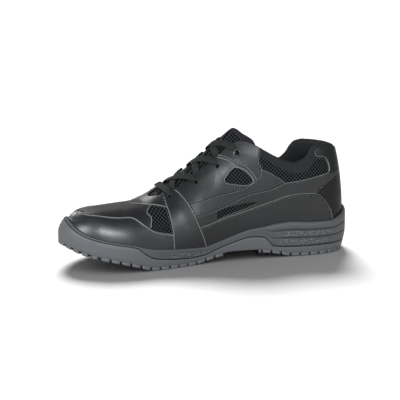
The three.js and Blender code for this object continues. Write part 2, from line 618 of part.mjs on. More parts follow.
// Outsole: rubber tray that wraps up round the midsole, with tread blocks under it
const tray = stack([
  ring(above('under', lugDepth), same(edge - trayRound)),
  ring(above('under', lugDepth + trayRound / 2), same(edge - trayRound / 6)),
  ring(halfway(above('under', lugDepth + trayRound / 2), height('wrap')), same(edge)),
  ring(height('wrap'), same(edge)),
  ring(height('wrap'), same(rubberInside)),
  ring(halfway(floorTop, height('wrap')), same(rubberInside)),
  ring(floorTop, same(rubberInside - cupRound)),
]);
const treadLayer = stack([
  ring(height('under'), same(edge - trayRound - 2 * blockBevel)),
  ring(above('under', lugDepth + blockBevel), same(edge - trayRound)),
]);
const treadZones = [{ from: 0.03, to: 0.33 }, { from: 0.48, to: 0.985 }];
function treadBlocks() {
  const blocks = [];
  treadZones.forEach(({ from, to }) => {
    const count = Math.round((to - from) * length / blockPitch);
    for (let i = 0; i < count; i += 1) {
      const station = (from + (to - from) * (i + 0.5) / count) * length;
      const half = Math.ceil(ballWidth / blockSpacing / 2);
      for (let k = -half; k <= half; k += 1) {
        const side = (k + (i % 2) / 2) * blockSpacing;
        if (!isOnSole(station, side)) continue;
        const block = new THREE.BoxGeometry(blockPitch - blockGroove, blockSpacing - blockGroove, 4 * toeSpring);
        block.translate(middleStation - station, side - middleSide, toeSpring);
        blocks.push(solid(block));
      }
    }
  });
  return blocks;
}

// Whether a tread block's middle lies well inside the outline of the sole
function isOnSole(station, side) {
  const contour = places.map((p) => outline(p));
  return contour.every((c) => Math.hypot(c.station - station, c.y - side) > blockGroove + edge)
    && contour.reduce((inside, a, i) => {
      const b = contour[(i + 1) % contour.length];
      const crosses = (a.y > side) !== (b.y > side)
        && station < (b.station - a.station) * (side - a.y) / (b.y - a.y) + a.station;
      return crosses ? !inside : inside;
    }, false);
}
const blocks = treadBlocks();
const pattern = blocks.slice(1).reduce((sum, block) => sum.add(block), blocks[0]);
const outsole = solid(tray).add(solid(treadLayer).intersect(pattern));

const insole = stack([
  ring(height('bed'), same(-wall - gap)),
  ring(above('bed', insoleThickness), same(-wall - 3 * gap)),
]);

// The assembly
piece('outsole', geometryOf(outsole), 0x5a5c60, 0.75);
piece('midsole', midsole, 0x525458, 0.7);
piece('upper', geometryOf(withHoles(upper)), 0x17181a, 0.8);
piece('insole', insole, 0x1c1d1f, 0.9);
piece('tongue', tongue(), 0x333536, 0.85);
piece('lace', geometryOf(laces), 0x3a3b3d, 0.9);
piece('toe_guard', geometryOf(whole('toeGuard')), 0x5c5e64, 0.35);
piece('throat_piece', geometryOf(whole('throat')), 0x4a4b4e, 0.4);
piece('heel_counter', geometryOf(whole('counter')), 0x252729, 0.45);
piece('heel_tab', geometryOf(whole('heelTab')), 0x2c2e30, 0.6);
[true, false].forEach((isMedial) => {
  const side = isMedial ? 'medial' : 'lateral';
  const leather = (name, source, window) => geometryOf(withHoles(coverHalf(name, isMedial, source, window)));
  piece(`strap_${side}`, leather('strap', strapLayer), 0x54575b, 0.35);
  piece(`eyestay_${side}`, leather('eyestay', coverLayer, windows.eyestay), 0x44464a, 0.4);
  piece(`band_${side}`, leather('band', coverLayer), 0x505357, 0.35);
  piece(`quarter_${side}`, leather('quarter', coverLayer, windows.quarter), 0x3c3e42, 0.4);
  piece(`lower_quarter_${side}`, leather('lowerQuarter', coverLayer), 0x3e4044, 0.4);
});

export default group;
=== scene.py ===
# %% [markdown]
# # A laced work shoe with a slip resistant sole
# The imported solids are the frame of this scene. Each one is dressed here with a finer piece that
# has the same form: leather, mesh, foam, rubber, cord and thread. Everything is worked out from
# the form of the shoe's last, so all layers lie on each other as they do on the real shoe.

# %% Load the frame
import math

import bmesh
import bpy
import numpy as np
from mathutils import Matrix, Vector


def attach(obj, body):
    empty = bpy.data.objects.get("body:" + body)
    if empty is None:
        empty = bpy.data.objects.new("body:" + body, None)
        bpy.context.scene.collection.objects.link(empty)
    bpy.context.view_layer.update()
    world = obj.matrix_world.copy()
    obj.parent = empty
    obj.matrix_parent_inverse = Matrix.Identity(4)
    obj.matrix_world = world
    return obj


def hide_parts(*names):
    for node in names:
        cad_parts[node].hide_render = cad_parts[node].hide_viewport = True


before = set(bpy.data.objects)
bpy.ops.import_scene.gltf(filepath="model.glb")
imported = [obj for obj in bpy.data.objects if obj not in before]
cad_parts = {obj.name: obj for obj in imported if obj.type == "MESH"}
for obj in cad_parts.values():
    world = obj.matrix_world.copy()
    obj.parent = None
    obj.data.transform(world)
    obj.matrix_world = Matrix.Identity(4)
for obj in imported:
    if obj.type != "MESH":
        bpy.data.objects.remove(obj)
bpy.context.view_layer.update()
MM = 0.001
print("solids in the frame:", len(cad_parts))

# %% [markdown]
# ## The last
# A shoe is built round a last, the maker's model of a foot. Here it is a closed ring of ribs: each
# rib rises from the edge of the sole to the crest of the foot. It could be sculpted, but a few
# named sizes with tables of shares are easier to change, and every layer can be measured from them.

# %% Sizes in millimetres
LENGTH, BALL_WIDTH, HEEL_WIDTH = 300.0, 103.0, 77.0
HEEL_HEIGHT, INSTEP_HEIGHT, TOE_HEIGHT = 109.0, 123.0, 60.0
SOLE_HEEL, SOLE_BALL, TOE_SPRING = 34.0, 20.0, 24.0
LUG_DEPTH, FLOOR, RUBBER, LIP = 3.0, 4.0, 1.5, 1.1
GAP, WALL, COLLAR_PAD, COVER, STRAP_COVER = 0.3, 2.4, 5.5, 1.0, 1.2
LIP_INSIDE = 2 * GAP + STRAP_COVER
LIP_OUTSIDE = LIP_INSIDE + LIP
RUBBER_INSIDE = LIP_OUTSIDE + GAP
EDGE = RUBBER_INSIDE + RUBBER
print("the sole's side lies", round(EDGE, 1), "mm outside the last")

# %% [markdown]
# The tables run row by row from heel to toe. They are the ones that the solids are made from, but
# for the rim at the heel, which lies about 2 millimetres lower here, as in the photograph.

# %% Rows of the last
# share of length, medial and lateral half widths, crest's place, its height and shift, squareness
HIND_ROWS = [
    (0.000, 0.026, -0.026, 0.210, 1.475, 0.02, 2.30),
    (0.017, 0.292, 0.240, 0.217, 1.468, 0.02, 2.30),
    (0.067, 0.448, 0.396, 0.240, 1.440, 0.01, 2.25),
    (0.137, 0.516, 0.468, 0.277, 1.385, 0.00, 2.20),
    (0.210, 0.513, 0.481, 0.330, 1.310, 0.00, 2.20),
    (0.287, 0.491, 0.487, 0.377, 1.225, 0.00, 2.30),
]
MID_ROWS = [
    (0.363, 0.350, 0.378, 0.428, 0.990, 0.00, 2.45),
    (0.440, 0.349, 0.407, 0.487, 0.868, 0.00, 2.50),
    (0.513, 0.377, 0.446, 0.547, 0.745, 0.01, 2.50),
    (0.587, 0.425, 0.480, 0.610, 0.640, 0.02, 2.45),
    (0.660, 0.474, 0.500, 0.673, 0.560, 0.03, 2.35),
]
TOE_ROWS = [
    (0.730, 0.500, 0.495, 0.733, 1.050, 0.04, 2.30),
    (0.800, 0.495, 0.461, 0.793, 1.020, 0.05, 2.35),
    (0.867, 0.451, 0.393, 0.843, 1.000, 0.05, 2.45),
    (0.925, 0.364, 0.291, 0.880, 0.992, 0.05, 2.50),
    (0.972, 0.233, 0.146, 0.903, 0.985, 0.05, 2.50),
    (1.000, 0.049, -0.049, 0.913, 0.980, 0.05, 2.50),
]
TOE = len(HIND_ROWS + MID_ROWS + TOE_ROWS) - 1
RING = 2 * TOE
print("rows from heel to toe:", TOE + 1)

# %% Rows of the rim and of the sole
# row, medial and lateral share of the rib's height at which the upper ends
RIM_ROWS = np.array([
    (0.0, 0.650, 0.650), (1.0, 0.660, 0.655), (2.0, 0.682, 0.674), (2.4, 0.690, 0.684),
    (2.7, 0.676, 0.683), (3.0, 0.645, 0.660), (3.3, 0.628, 0.620), (3.7, 0.626, 0.593),
    (4.0, 0.646, 0.590), (4.5, 0.706, 0.625), (5.0, 0.795, 0.713), (5.5, 0.895, 0.845),
    (5.9, 0.945, 0.930), (6.3, 0.955, 0.955), (9.0, 0.955, 0.955), (9.8, 0.970, 0.970),
    (10.2, 0.990, 0.990), (10.4, 1.000, 1.000), (16.0, 1.000, 1.000),
])
# share of length, size it follows, tread, rubber's top edge, bite line, inner floor, groove depth
SOLE_ROWS = [
    (0.000, SOLE_HEEL, 0.06, 0.28, 1.28, 0.88, 0.3),
    (0.030, SOLE_HEEL, 0.01, 0.28, 1.12, 0.86, 0.8),
    (0.080, SOLE_HEEL, 0.00, 0.28, 0.99, 0.84, 1.0),
    (0.170, SOLE_HEEL, 0.00, 0.28, 1.01, 0.84, 1.0),
    (0.230, SOLE_HEEL, 0.02, 0.29, 1.05, 0.85, 1.0),
    (0.290, SOLE_HEEL, 0.12, 0.33, 1.00, 0.80, 0.7),
    (0.325, SOLE_HEEL, 0.16, 0.62, 0.94, 0.76, 0.2),
    (0.370, SOLE_HEEL, 0.18, 0.65, 0.89, 0.71, 0.0),
    (0.430, SOLE_BALL, 0.31, 0.90, 1.26, 1.03, 0.0),
    (0.490, SOLE_BALL, 0.23, 0.64, 0.98, 0.82, 0.1),
    (0.535, SOLE_BALL, 0.11, 0.43, 0.84, 0.70, 0.3),
    (0.580, SOLE_BALL, 0.00, 0.38, 0.87, 0.70, 0.3),
    (0.710, SOLE_BALL, 0.00, 0.56, 1.05, 0.75, 0.2),
    (0.745, SOLE_BALL, 0.10, 0.82, 1.16, 0.82, 0.0),
    (0.775, TOE_SPRING, 0.19, 0.98, 1.08, 0.76, 0.0),
    (0.850, TOE_SPRING, 0.42, 1.17, 1.26, 0.92, 0.0),
    (0.910, TOE_SPRING, 0.58, 1.34, 1.44, 1.06, 0.0),
    (0.955, TOE_SPRING, 0.76, 1.58, 1.70, 1.20, 0.0),
    (0.985, TOE_SPRING, 0.93, 1.84, 1.96, 1.30, 0.0),
    (1.000, TOE_SPRING, 1.00, 1.96, 2.08, 1.34, 0.0),
]

print("rows of the sole:", len(SOLE_ROWS))

# %% [markdown]
# Between its rows the form has to run smoothly. A curve through four neighbouring rows at a time
# passes through every row and closes on itself, so the ring has no seam. The sole's heights are
# read with a curve that never overshoots, which keeps its flat stretches flat.

# %% Ring of ribs
def ring_rows():
    """The tables as one closed ring: up the medial side to the toe and back down the lateral side."""
    sized = [(row, HEEL_WIDTH, HEEL_HEIGHT) for row in HIND_ROWS]
    sized += [(row, BALL_WIDTH, INSTEP_HEIGHT) for row in MID_ROWS]
    sized += [(row, BALL_WIDTH, TOE_HEIGHT) for row in TOE_ROWS]
    rows = []
    for i in range(RING):
        is_medial = i <= TOE
        row, width, height = sized[i if is_medial else RING - i]
        at, medial, lateral, crest_at, crest, ridge, full = row
        side = -medial if is_medial else lateral
        rows.append((at * LENGTH, side * width, full, crest_at * LENGTH, -ridge * width, crest * height))
    return np.array(rows)


RING_ROWS = ring_rows()


def rib(p):
    """Outline point, squareness and crest of the rib at ring place p, on a smooth closed curve."""
    p = np.asarray(p, float) % RING
    i = np.minimum(p.astype(int), RING - 1)
    t = (p - i)[..., None]
    a, b, c, d = (RING_ROWS[(i + k) % RING] for k in (-1, 0, 1, 2))
    return b + 0.5 * t * (c - a + t * (2 * a - 5 * b + 4 * c - d + t * (3 * b - a - 3 * c + d)))


def between(xs, ys, x):
    """Value of a table's column at x, without overshoot."""
    slope = np.diff(ys) / np.diff(xs)
    before, after = slope[:-1], slope[1:]
    same_way = before * after > 0
    tangent = np.zeros(len(xs))
    tangent[1:-1][same_way] = (2 * before * after)[same_way] / (before + after)[same_way]
    i = np.clip(np.searchsorted(xs, x) - 1, 0, len(xs) - 2)
    span, rise = xs[i + 1] - xs[i], ys[i + 1] - ys[i]
    t = np.clip((x - xs[i]) / span, 0, 1)
    bend = span * t * (1 - t) * ((1 - t) * tangent[i] - t * tangent[i + 1])
    return ys[i] + rise * t * t * (3 - 2 * t) + bend


SOLE_TABLE = np.array([[at * LENGTH, under * of, wrap * of, bite * of, bed * of, groove]
                       for at, of, under, wrap, bite, bed, groove in SOLE_ROWS])
UNDER, WRAP, BITE, BED, GROOVE = range(1, 6)


def sole(column, station):
    """Height of one line of the sole at a station along the foot."""
    return between(SOLE_TABLE[:, 0], SOLE_TABLE[:, column], station)


print("ribs round the last:", RING)

# %% [markdown]
# A place on the last is a ring place p, 0 at the heel and 16 at the toe along the medial side and
# back to 32 along the lateral side, and an angle round the rib, 0 at the sole and 90 at the crest.
# A layer of material is the last moved outwards along its normal.

# %% Places on the last
def unit(v):
    """Vectors brought to length one."""
    return v / np.maximum(np.linalg.norm(v, axis=-1, keepdims=True), 1e-9)


def outline(p):
    """Rib at p, and the level direction away from the foot there."""
    base, along = rib(p), rib(p + 0.01) - rib(p - 0.01)
    return base, unit(np.stack([along[..., 1], -along[..., 0]], -1))


def last_point(p, angle):
    """Point of the last. Each rib is a quarter of a squared ellipse."""
    base, out = outline(p)
    power = 2 / base[..., 2]
    inward = 1 - np.maximum(np.cos(np.radians(angle)), 0) ** power
    upward = np.maximum(np.sin(np.radians(angle)), 0) ** power
    x, y = base[..., 0] - EDGE * out[..., 0], base[..., 1] - EDGE * out[..., 1]
    z = sole(BED, base[..., 0])
    return np.stack([x + (base[..., 3] - x) * inward, y + (base[..., 4] - y) * inward,
                     z + (base[..., 5] - z) * upward], -1)


def last_normal(p, angle):
    """Direction that points straight out of the last."""
    a = np.clip(angle, 0, 89)
    round_it = last_point(p + 0.02, a) - last_point(p - 0.02, a)
    up = last_point(p, np.minimum(a + 1, 90)) - last_point(p, np.maximum(a - 0.5, 0))
    return unit(np.cross(round_it, up))


print("crest above the instep:", last_point(np.array(6.0), np.array(90.0)).round(1), "mm")

# %% [markdown]
# Worn leather has soft creases where the foot bends, and it settles where nothing fills the shoe.
# Both could be sculpted on each piece. Here they are troughs and ridges in the distance from the
# last, placed in the shoe's own sizes, so that every layer shares them.

# %% Creases and settled leather
# start and end as ring place and angle, height in millimetres (troughs are negative), half width
CREASES = [
    (9.0, 20, 9.4, 50, -0.5, 4.0), (7.6, 44, 8.4, 30, -0.5, 5.0), (5.6, 24, 6.2, 34, 0.5, 6.0),
    (5.0, 36, 5.9, 50, -0.6, 5.0), (10.9, 70, 11.3, 50, -0.35, 4.0), (11.9, 76, 12.1, 56, -0.3, 4.0),
    (3.3, 10, 2.2, 16, -0.4, 5.0), (22.9, 24, 23.0, 48, -0.5, 4.0), (24.4, 30, 24.0, 44, -0.4, 5.0),
    (27.0, 36, 26.2, 48, -0.5, 5.0), (5.3, 44, 6.7, 49, 1.0, 8.0), (25.3, 49, 26.7, 44, 1.0, 8.0),
]
ROW_MM, DEGREE_MM = 18.0, 0.75


def creased(p, angle):
    """Height of the creases at a place, in millimetres."""
    here = np.stack([p * ROW_MM, angle * DEGREE_MM], -1)
    total = np.zeros(np.shape(p))
    for p0, a0, p1, a1, rise, width in CREASES:
        start, end = np.array([p0 * ROW_MM, a0 * DEGREE_MM]), np.array([p1 * ROW_MM, a1 * DEGREE_MM])
        along = end - start
        share = np.clip(((here - start) @ along) / (along @ along), 0, 1)
        away = np.linalg.norm(here - start - share[..., None] * along, axis=-1)
        total = total + rise * np.exp(-(away / width) ** 2)
    return total


VAMP_SINK, TOE_SINK = 3.6, 4.0


def settled(p, angle):
    """The vamp and the toe lie a little lower than the last, because nothing fills them."""
    p = p % RING
    row = np.minimum(p, RING - p)
    spread = 26 + 16 * np.clip(p - TOE, 0, 1)
    vamp = np.clip((row - 9.6) / 1.2, 0, 1) * np.exp(-((90 - angle) / spread) ** 2)
    toe = np.clip((row - 13.4) / 2.2, 0, 1) * np.clip((angle - 8) / 30, 0, 1)
    return -(VAMP_SINK * vamp + TOE_SINK * toe * (1 - 0.6 * vamp))


print("creases:", len(CREASES))

# %% [markdown]
# The layers of the upper follow the last. The sole's side does so too above the inner floor, and
# below it stands upright. The upper ends at its rim, a share of each rib's height.

# %% Points of a layer
def form_point(p, angle, out):
    """Point that stands out from the last. Both sides share one point on the closed crest."""
    p, angle = np.broadcast_arrays(np.asarray(p, float) % RING, np.asarray(angle, float))
    closed = angle > 89.9
    place = np.where(closed, np.minimum(p, RING - p), p)
    normal = last_normal(place, angle)
    other = last_normal(RING - place, angle)
    normal = np.where(closed[..., None], unit(normal + other), normal)
    lift = np.asarray(out + creased(place, angle) + settled(place, angle))[..., None]
    return last_point(place, angle) + lift * normal


def angle_at(p, height):
    """Angle at which the last reaches a height."""
    base, _ = outline(p)
    bed = sole(BED, base[..., 0])
    share = np.clip((height - bed) / (base[..., 5] - bed), 0, 1)
    return np.degrees(np.arcsin(share ** (base[..., 2] / 2)))


def wall_point(p, height, out):
    """Point of the sole's side wall: on the last above the inner floor, upright below it."""
    base, away = outline(p)
    angle = angle_at(p, height)
    lift = np.asarray(out + settled(p, angle))[..., None]
    on_last = last_point(p, angle) + lift * last_normal(p, angle)
    upright = np.stack([base[..., 0] + (out - EDGE) * away[..., 0],
                        base[..., 1] + (out - EDGE) * away[..., 1], height], -1)
    above = height > sole(BED, base[..., 0])
    on_last[..., 2] = height
    return np.where(above[..., None], on_last, upright)


def rim_angle(p):
    """Angle at which the upper ends."""
    q = np.asarray(p, float) % RING
    row = np.minimum(q, RING - q)
    medial, lateral = (between(RIM_ROWS[:, 0], RIM_ROWS[:, k], row) for k in (1, 2))
    return angle_at(q, np.where(q <= TOE, medial, lateral) * rib(q)[..., 5])


AROUND = rib(np.linspace(0, RING, 1281))
MIDDLE = (AROUND[:, :2].max(0) + AROUND[:, :2].min(0)) / 2


def to_frame(points):
    """From stations along the foot, in millimetres, to the frame, in metres."""
    s, y, z = np.moveaxis(np.asarray(points), -1, 0)
    return np.stack([MIDDLE[0] - s, y - MIDDLE[1], z], -1) * MM


print("toe tip of the last at", to_frame(last_point(np.array(float(TOE)), np.array(0.0))).round(4))

# %% [markdown]
# ## Camera, light and floor
# The photograph looks at the shoe's medial side, turned a little to the toe and from a little
# above. A long lens keeps the perspective as flat as it is there.

# %% Camera
TURN, TILT, ROLL = math.radians(17), math.radians(12), math.radians(-0.4)
DISTANCE, SENSOR = 1.5, 36.0
PIXELS = 400
FOCAL_PIXELS, CENTRE_X, CENTRE_Y = 1487.8, 203.06, 200.85
TARGET = Vector((0, 0, 0.055))

camera = bpy.data.objects.new("camera", bpy.data.cameras.new("camera"))
bpy.context.scene.collection.objects.link(camera)
bpy.context.scene.camera = camera
back = Vector((-math.sin(TURN) * math.cos(TILT), -math.cos(TURN) * math.cos(TILT), math.sin(TILT)))
camera.location = TARGET + back * DISTANCE
camera.rotation_mode = "QUATERNION"
roll = Matrix.Rotation(ROLL, 3, "Z").to_quaternion()
camera.rotation_quaternion = (-back).to_track_quat("-Z", "Y") @ roll
camera.data.sensor_width = SENSOR
camera.data.lens = FOCAL_PIXELS / PIXELS * SENSOR
camera.data.shift_x = (PIXELS / 2 - CENTRE_X) / PIXELS
camera.data.shift_y = (CENTRE_Y - PIXELS / 2) / PIXELS
camera.data.clip_end = 100
print("lens", round(camera.data.lens, 1), "mm")


# %% [markdown]
# Every material is built from nodes. One function adds a node with its settings and links, and one
# turns a colour as it is seen on a screen into the linear value that the renderer works with.

# %% Node and colour helpers
def linear(code):
    """A colour such as '2A2C30' as linear red, green, blue and alpha."""
    parts = [int(code[i:i + 2], 16) / 255 for i in (0, 2, 4)]
    return [c / 12.92 if c <= 0.04045 else ((c + 0.055) / 1.055) ** 2.4 for c in parts] + [1.0]


def add(tree, kind, links=(), **settings):
    """Adds a node. settings are attributes or inputs by name, or by number as in i1=0.5."""
    node = tree.nodes.new(kind)
    for key, value in settings.items():
        if hasattr(node, key):
            setattr(node, key, value)
        else:
            by_number = key[0] == "i" and key[1:].isdigit()
            socket = node.inputs[int(key[1:]) if by_number else key.replace("_", " ")]
            socket.default_value = value
    for name, socket in links:
        tree.links.new(socket, node.inputs[name])
    return node


def new_material(name, **shader):
    """A material with one Principled shader, whose plain values are set on its own sockets."""
    material = bpy.data.materials.new(name)
    material.use_nodes = True
    tree = material.node_tree
    principled = tree.nodes["Principled BSDF"]
    for key, value in shader.items():
        principled.inputs[key.replace("_", " ")].default_value = value
    return material, tree, principled


print("mid grey as the renderer sees it:", round(linear("808080")[0], 3))

# %% [markdown]
# The photograph is a studio shot on white, with broad soft boxes and a soft shadow in front of the
# shoe. The floor and the shoe need different light for that, so light linking parts them: the soft
# boxes light only the shoe, and a wide sun from behind lights only the floor.

# %% Floor
def pale_floor():
    """A matt white sheet, far larger than the picture."""
    bm = bmesh.new()
    bmesh.ops.create_grid(bm, x_segments=1, y_segments=1, size=20)
    mesh = bpy.data.meshes.new("floor")
    bm.to_mesh(mesh)
    floor = bpy.data.objects.new("floor", mesh)
    bpy.context.scene.collection.objects.link(floor)
    material, _, _ = new_material("matt white paper", Base_Color=linear("F7F7F7"), Roughness=0.9)
    mesh.materials.append(material)
    return floor


floor = pale_floor()
print("floor:", floor.dimensions.x, "m wide")


# %% Soft boxes
def area_light(name, turn, rise, size, power, colour):
    """A soft box 2 m from the shoe. turn is from straight in front, to the heel, in degrees."""
    lamp = bpy.data.lights.new(name, "AREA")
    lamp.shape, lamp.size, lamp.size_y, lamp.energy = "RECTANGLE", size[0], size[1], power
    lamp.color = colour
    holder = bpy.data.objects.new(name, lamp)
    bpy.context.scene.collection.objects.link(holder)
    a, e = math.radians(turn), math.radians(rise)
    away = Vector((math.sin(a) * math.cos(e), -math.cos(a) * math.cos(e), math.sin(e)))
    holder.location = Vector((0, 0, 0.05)) + 2 * away
    holder.rotation_euler = (-away).to_track_quat("-Z", "Y").to_euler()
    return holder


shoe_only = bpy.data.collections.new("all but the floor")
shoe_only.objects.link(floor)
shoe_only.collection_objects[0].light_linking.link_state = "EXCLUDE"
for lamp in (area_light("key", -22, 22, (1.3, 0.3), 42, (0.94, 0.97, 1.0)),
             area_light("second", 39, 21, (0.3, 0.55), 14, (0.96, 0.98, 1.0)),
             area_light("side", -72, 20, (0.4, 0.6), 26, (0.96, 0.98, 1.0)),
             area_light("rim", -158, 29, (1.2, 0.4), 13, (1.0, 1.0, 1.0))):
    lamp.light_linking.receiver_collection = shoe_only
print("soft boxes light:", shoe_only.name)

# %% Sun on the floor, and the studio's pale walls
floor_only = bpy.data.collections.new("floor only")
floor_only.objects.link(floor)
sun = bpy.data.lights.new("overhead", "SUN")
sun.energy, sun.angle = 4.6, math.radians(24)
overhead = bpy.data.objects.new("overhead", sun)
bpy.context.scene.collection.objects.link(overhead)
overhead.rotation_euler = Vector((-0.18, -1.15, -1)).to_track_quat("-Z", "Y").to_euler()
overhead.light_linking.receiver_collection = floor_only
world = bpy.data.worlds.new("studio")
world.use_nodes = True
walls = world.node_tree.nodes["Background"]
walls.inputs["Color"].default_value = (1, 1, 1, 1)
walls.inputs["Strength"].default_value = 0.27
bpy.context.scene.world = world
bpy.context.scene.view_settings.view_transform = "Standard"

# %% [markdown]
# ## Materials
# The shoe is black all over. What tells its parts apart is gloss, grain and relief. The leather is
# split hide with a coat of polyurethane: it shines softly, and its gloss and level are slightly
# uneven. Its grain of half a millimetre is too fine to show, so it is drawn at 1.1.

# %% Leather
GRAIN_SIZE, UNEVEN_SIZE = 1.1, 14.0


def coated_leather(name, colour, roughness, coat, gloss=0.4, grain=0.12):
    """Coated split leather: fine grain and slow waves as bump, with the gloss varied by the waves."""
    material, tree, shader = new_material(
        name, Base_Color=linear(colour), Roughness=roughness, Coat_Weight=coat, Coat_Roughness=0.3,
        Specular_IOR_Level=gloss)
    place = add(tree, "ShaderNodeTexCoord")
    cells = add(tree, "ShaderNodeTexVoronoi", [("Vector", place.outputs["Object"])],
                feature="SMOOTH_F1", Scale=1 / (GRAIN_SIZE * MM))
    uneven = add(tree, "ShaderNodeTexNoise", [("Vector", place.outputs["Object"])],
                 Scale=1 / (UNEVEN_SIZE * MM), Detail=4.0)
    bump = add(tree, "ShaderNodeBump", [("Height", cells.outputs["Distance"])],
               Strength=grain, Distance=0.2 * MM)
    folds = add(tree, "ShaderNodeBump",
                [("Height", uneven.outputs["Fac"]), ("Normal", bump.outputs["Normal"])],
                Strength=0.26, Distance=1.2 * MM)
    tone = add(tree, "ShaderNodeMapRange", [("Value", uneven.outputs["Fac"])], **{
        "From Min": 0.3, "From Max": 0.7, "To Min": roughness - 0.05, "To Max": roughness + 0.07})
    tree.links.new(folds.outputs["Normal"], shader.inputs["Normal"])
    tree.links.new(tone.outputs["Result"], shader.inputs["Roughness"])
    return material


# the cut edge's lighter grey stands for light caught along the edge: a painted highlight
EDGE_HIGHLIGHT_PAINT = coated_leather("painted highlight on the cut edge of split leather", "6C6D6C", 0.5, 0.0)
GUARD_LEATHER = coated_leather("coated split leather, smooth", "0E0F12", 0.38, 0.35)
OVERLAY_LEATHER = coated_leather("coated split leather, fine grain", "0F1012", 0.40, 0.20, grain=0.16)
QUARTER_LEATHER = coated_leather("coated split leather, half matt", "0A0B0C", 0.50, 0.05, grain=0.14)
HEEL_LEATHER = coated_leather("coated split leather, matt", "0B0C0D", 0.46, 0.0, gloss=0.18, grain=0.14)
print("the toe guard is of", GUARD_LEATHER.name)

# %% [markdown]
# The mesh is warp knitted polyester: greyish threads with open holes over dark foam. Real threads
# would be thousands of tubes, so the net is drawn in the material, as two families of waves at
# right angles, turned 45 degrees to the sole. Where both are near their peaks there is a hole. The
# real pitch is about 2 millimetres, and it is drawn at 2.6 so that the net shows from a step away.
# The lining inside is brushed polyester, matt, with a very fine weave.

# %% Mesh and lining
MESH_PITCH = 2.6


def knitted_mesh(name, thread, hole):
    """Warp knitted polyester: matt threads that stand out from dark holes."""
    material, tree, shader = new_material(name, Base_Color=linear(thread), Roughness=0.8,
                                          Specular_IOR_Level=0.08)
    place = add(tree, "ShaderNodeTexCoord")
    turned = add(tree, "ShaderNodeMapping", [("Vector", place.outputs["Object"])],
                 Rotation=(0, math.radians(45), 0), Scale=(1 / MM, 1 / MM, 1 / MM))
    axes = add(tree, "ShaderNodeSeparateXYZ", [("Vector", turned.outputs["Vector"])])
    waves = []
    for axis in ("X", "Z"):
        turn = add(tree, "ShaderNodeMath", [(0, axes.outputs[axis])], operation="MULTIPLY",
                   i1=math.pi / MESH_PITCH)
        wave = add(tree, "ShaderNodeMath", [(0, turn.outputs[0])], operation="SINE")
        waves.append(add(tree, "ShaderNodeMath", [(0, wave.outputs[0])], operation="ABSOLUTE"))
    both = add(tree, "ShaderNodeMath", [(0, waves[0].outputs[0]), (1, waves[1].outputs[0])],
               operation="MULTIPLY")
    net = add(tree, "ShaderNodeMapRange", [("Value", both.outputs[0])], interpolation_type="SMOOTHSTEP",
              **{"From Min": 0.14, "From Max": 0.28, "To Min": 1.0, "To Max": 0.0})
    colour = add(tree, "ShaderNodeMix", [("Factor", net.outputs["Result"])], data_type="RGBA",
                 i6=linear(hole), i7=linear(thread))
    bump = add(tree, "ShaderNodeBump", [("Height", net.outputs["Result"])], Strength=0.8, Distance=0.7 * MM)
    tree.links.new(colour.outputs["Result"], shader.inputs["Base Color"])
    tree.links.new(bump.outputs["Normal"], shader.inputs["Normal"])
    return material


def woven_lining(name, colour, roughness=0.8):
    """Brushed polyester: matt, with a very fine weave as bump."""
    material, tree, shader = new_material(name, Base_Color=linear(colour), Roughness=roughness,
                                          Specular_IOR_Level=0.12)
    place = add(tree, "ShaderNodeTexCoord")
    weave = add(tree, "ShaderNodeTexNoise", [("Vector", place.outputs["Object"])],
                Scale=1 / (0.7 * MM), Detail=3.0)
    bump = add(tree, "ShaderNodeBump", [("Height", weave.outputs["Fac"])], Strength=0.25, Distance=0.3 * MM)
    tree.links.new(bump.outputs["Normal"], shader.inputs["Normal"])
    return material


MESH = knitted_mesh("warp knitted mesh", "303335", "010101")
LINING = woven_lining("brushed polyester lining", "1C1D1F")
INSOLE_CLOTH = woven_lining("brushed insole cloth", "101113", 0.9)
print("mesh pitch:", MESH_PITCH, "mm")

# %% [markdown]
# The tray is nitrile rubber, moulded under pressure. A mould with a spark eroded finish leaves it
# matt, with fine grit and faint clouds of gloss. The cup is pressed EVA foam, a shade darker. Its
# pebbled bands and grooves come from the mould too. The pebbles' tops are painted lighter, a painted
# highlight, and the grooves and the foam just above the rubber are painted darker, a painted shade.
# Two attributes on the mesh say where they are. The real pebbles are about 2 millimetres wide and
# are drawn at 3.4 to show.

# %% Rubber and foam
GRIT_SIZE, CLOUD_SIZE, PEBBLE_SIZE, SKIN_SIZE = 0.8, 30.0, 3.4, 1.2


def moulded_rubber(name, colour, roughness=0.55):
    """Moulded nitrile rubber: matt and faintly mottled."""
    material, tree, shader = new_material(name, Base_Color=linear(colour), Roughness=roughness,
                                          Specular_IOR_Level=0.45)
    place = add(tree, "ShaderNodeTexCoord")
    grit = add(tree, "ShaderNodeTexNoise", [("Vector", place.outputs["Object"])],
               Scale=1 / (GRIT_SIZE * MM), Detail=4.0)
    clouds = add(tree, "ShaderNodeTexNoise", [("Vector", place.outputs["Object"])],
                 Scale=1 / (CLOUD_SIZE * MM), Detail=3.0)
    tone = add(tree, "ShaderNodeMapRange", [("Value", clouds.outputs["Fac"])], **{
        "From Min": 0.3, "From Max": 0.7, "To Min": roughness - 0.06, "To Max": roughness + 0.08})
    bump = add(tree, "ShaderNodeBump", [("Height", grit.outputs["Fac"])], Strength=0.15, Distance=0.25 * MM)
    tree.links.new(tone.outputs["Result"], shader.inputs["Roughness"])
    tree.links.new(bump.outputs["Normal"], shader.inputs["Normal"])
    return material


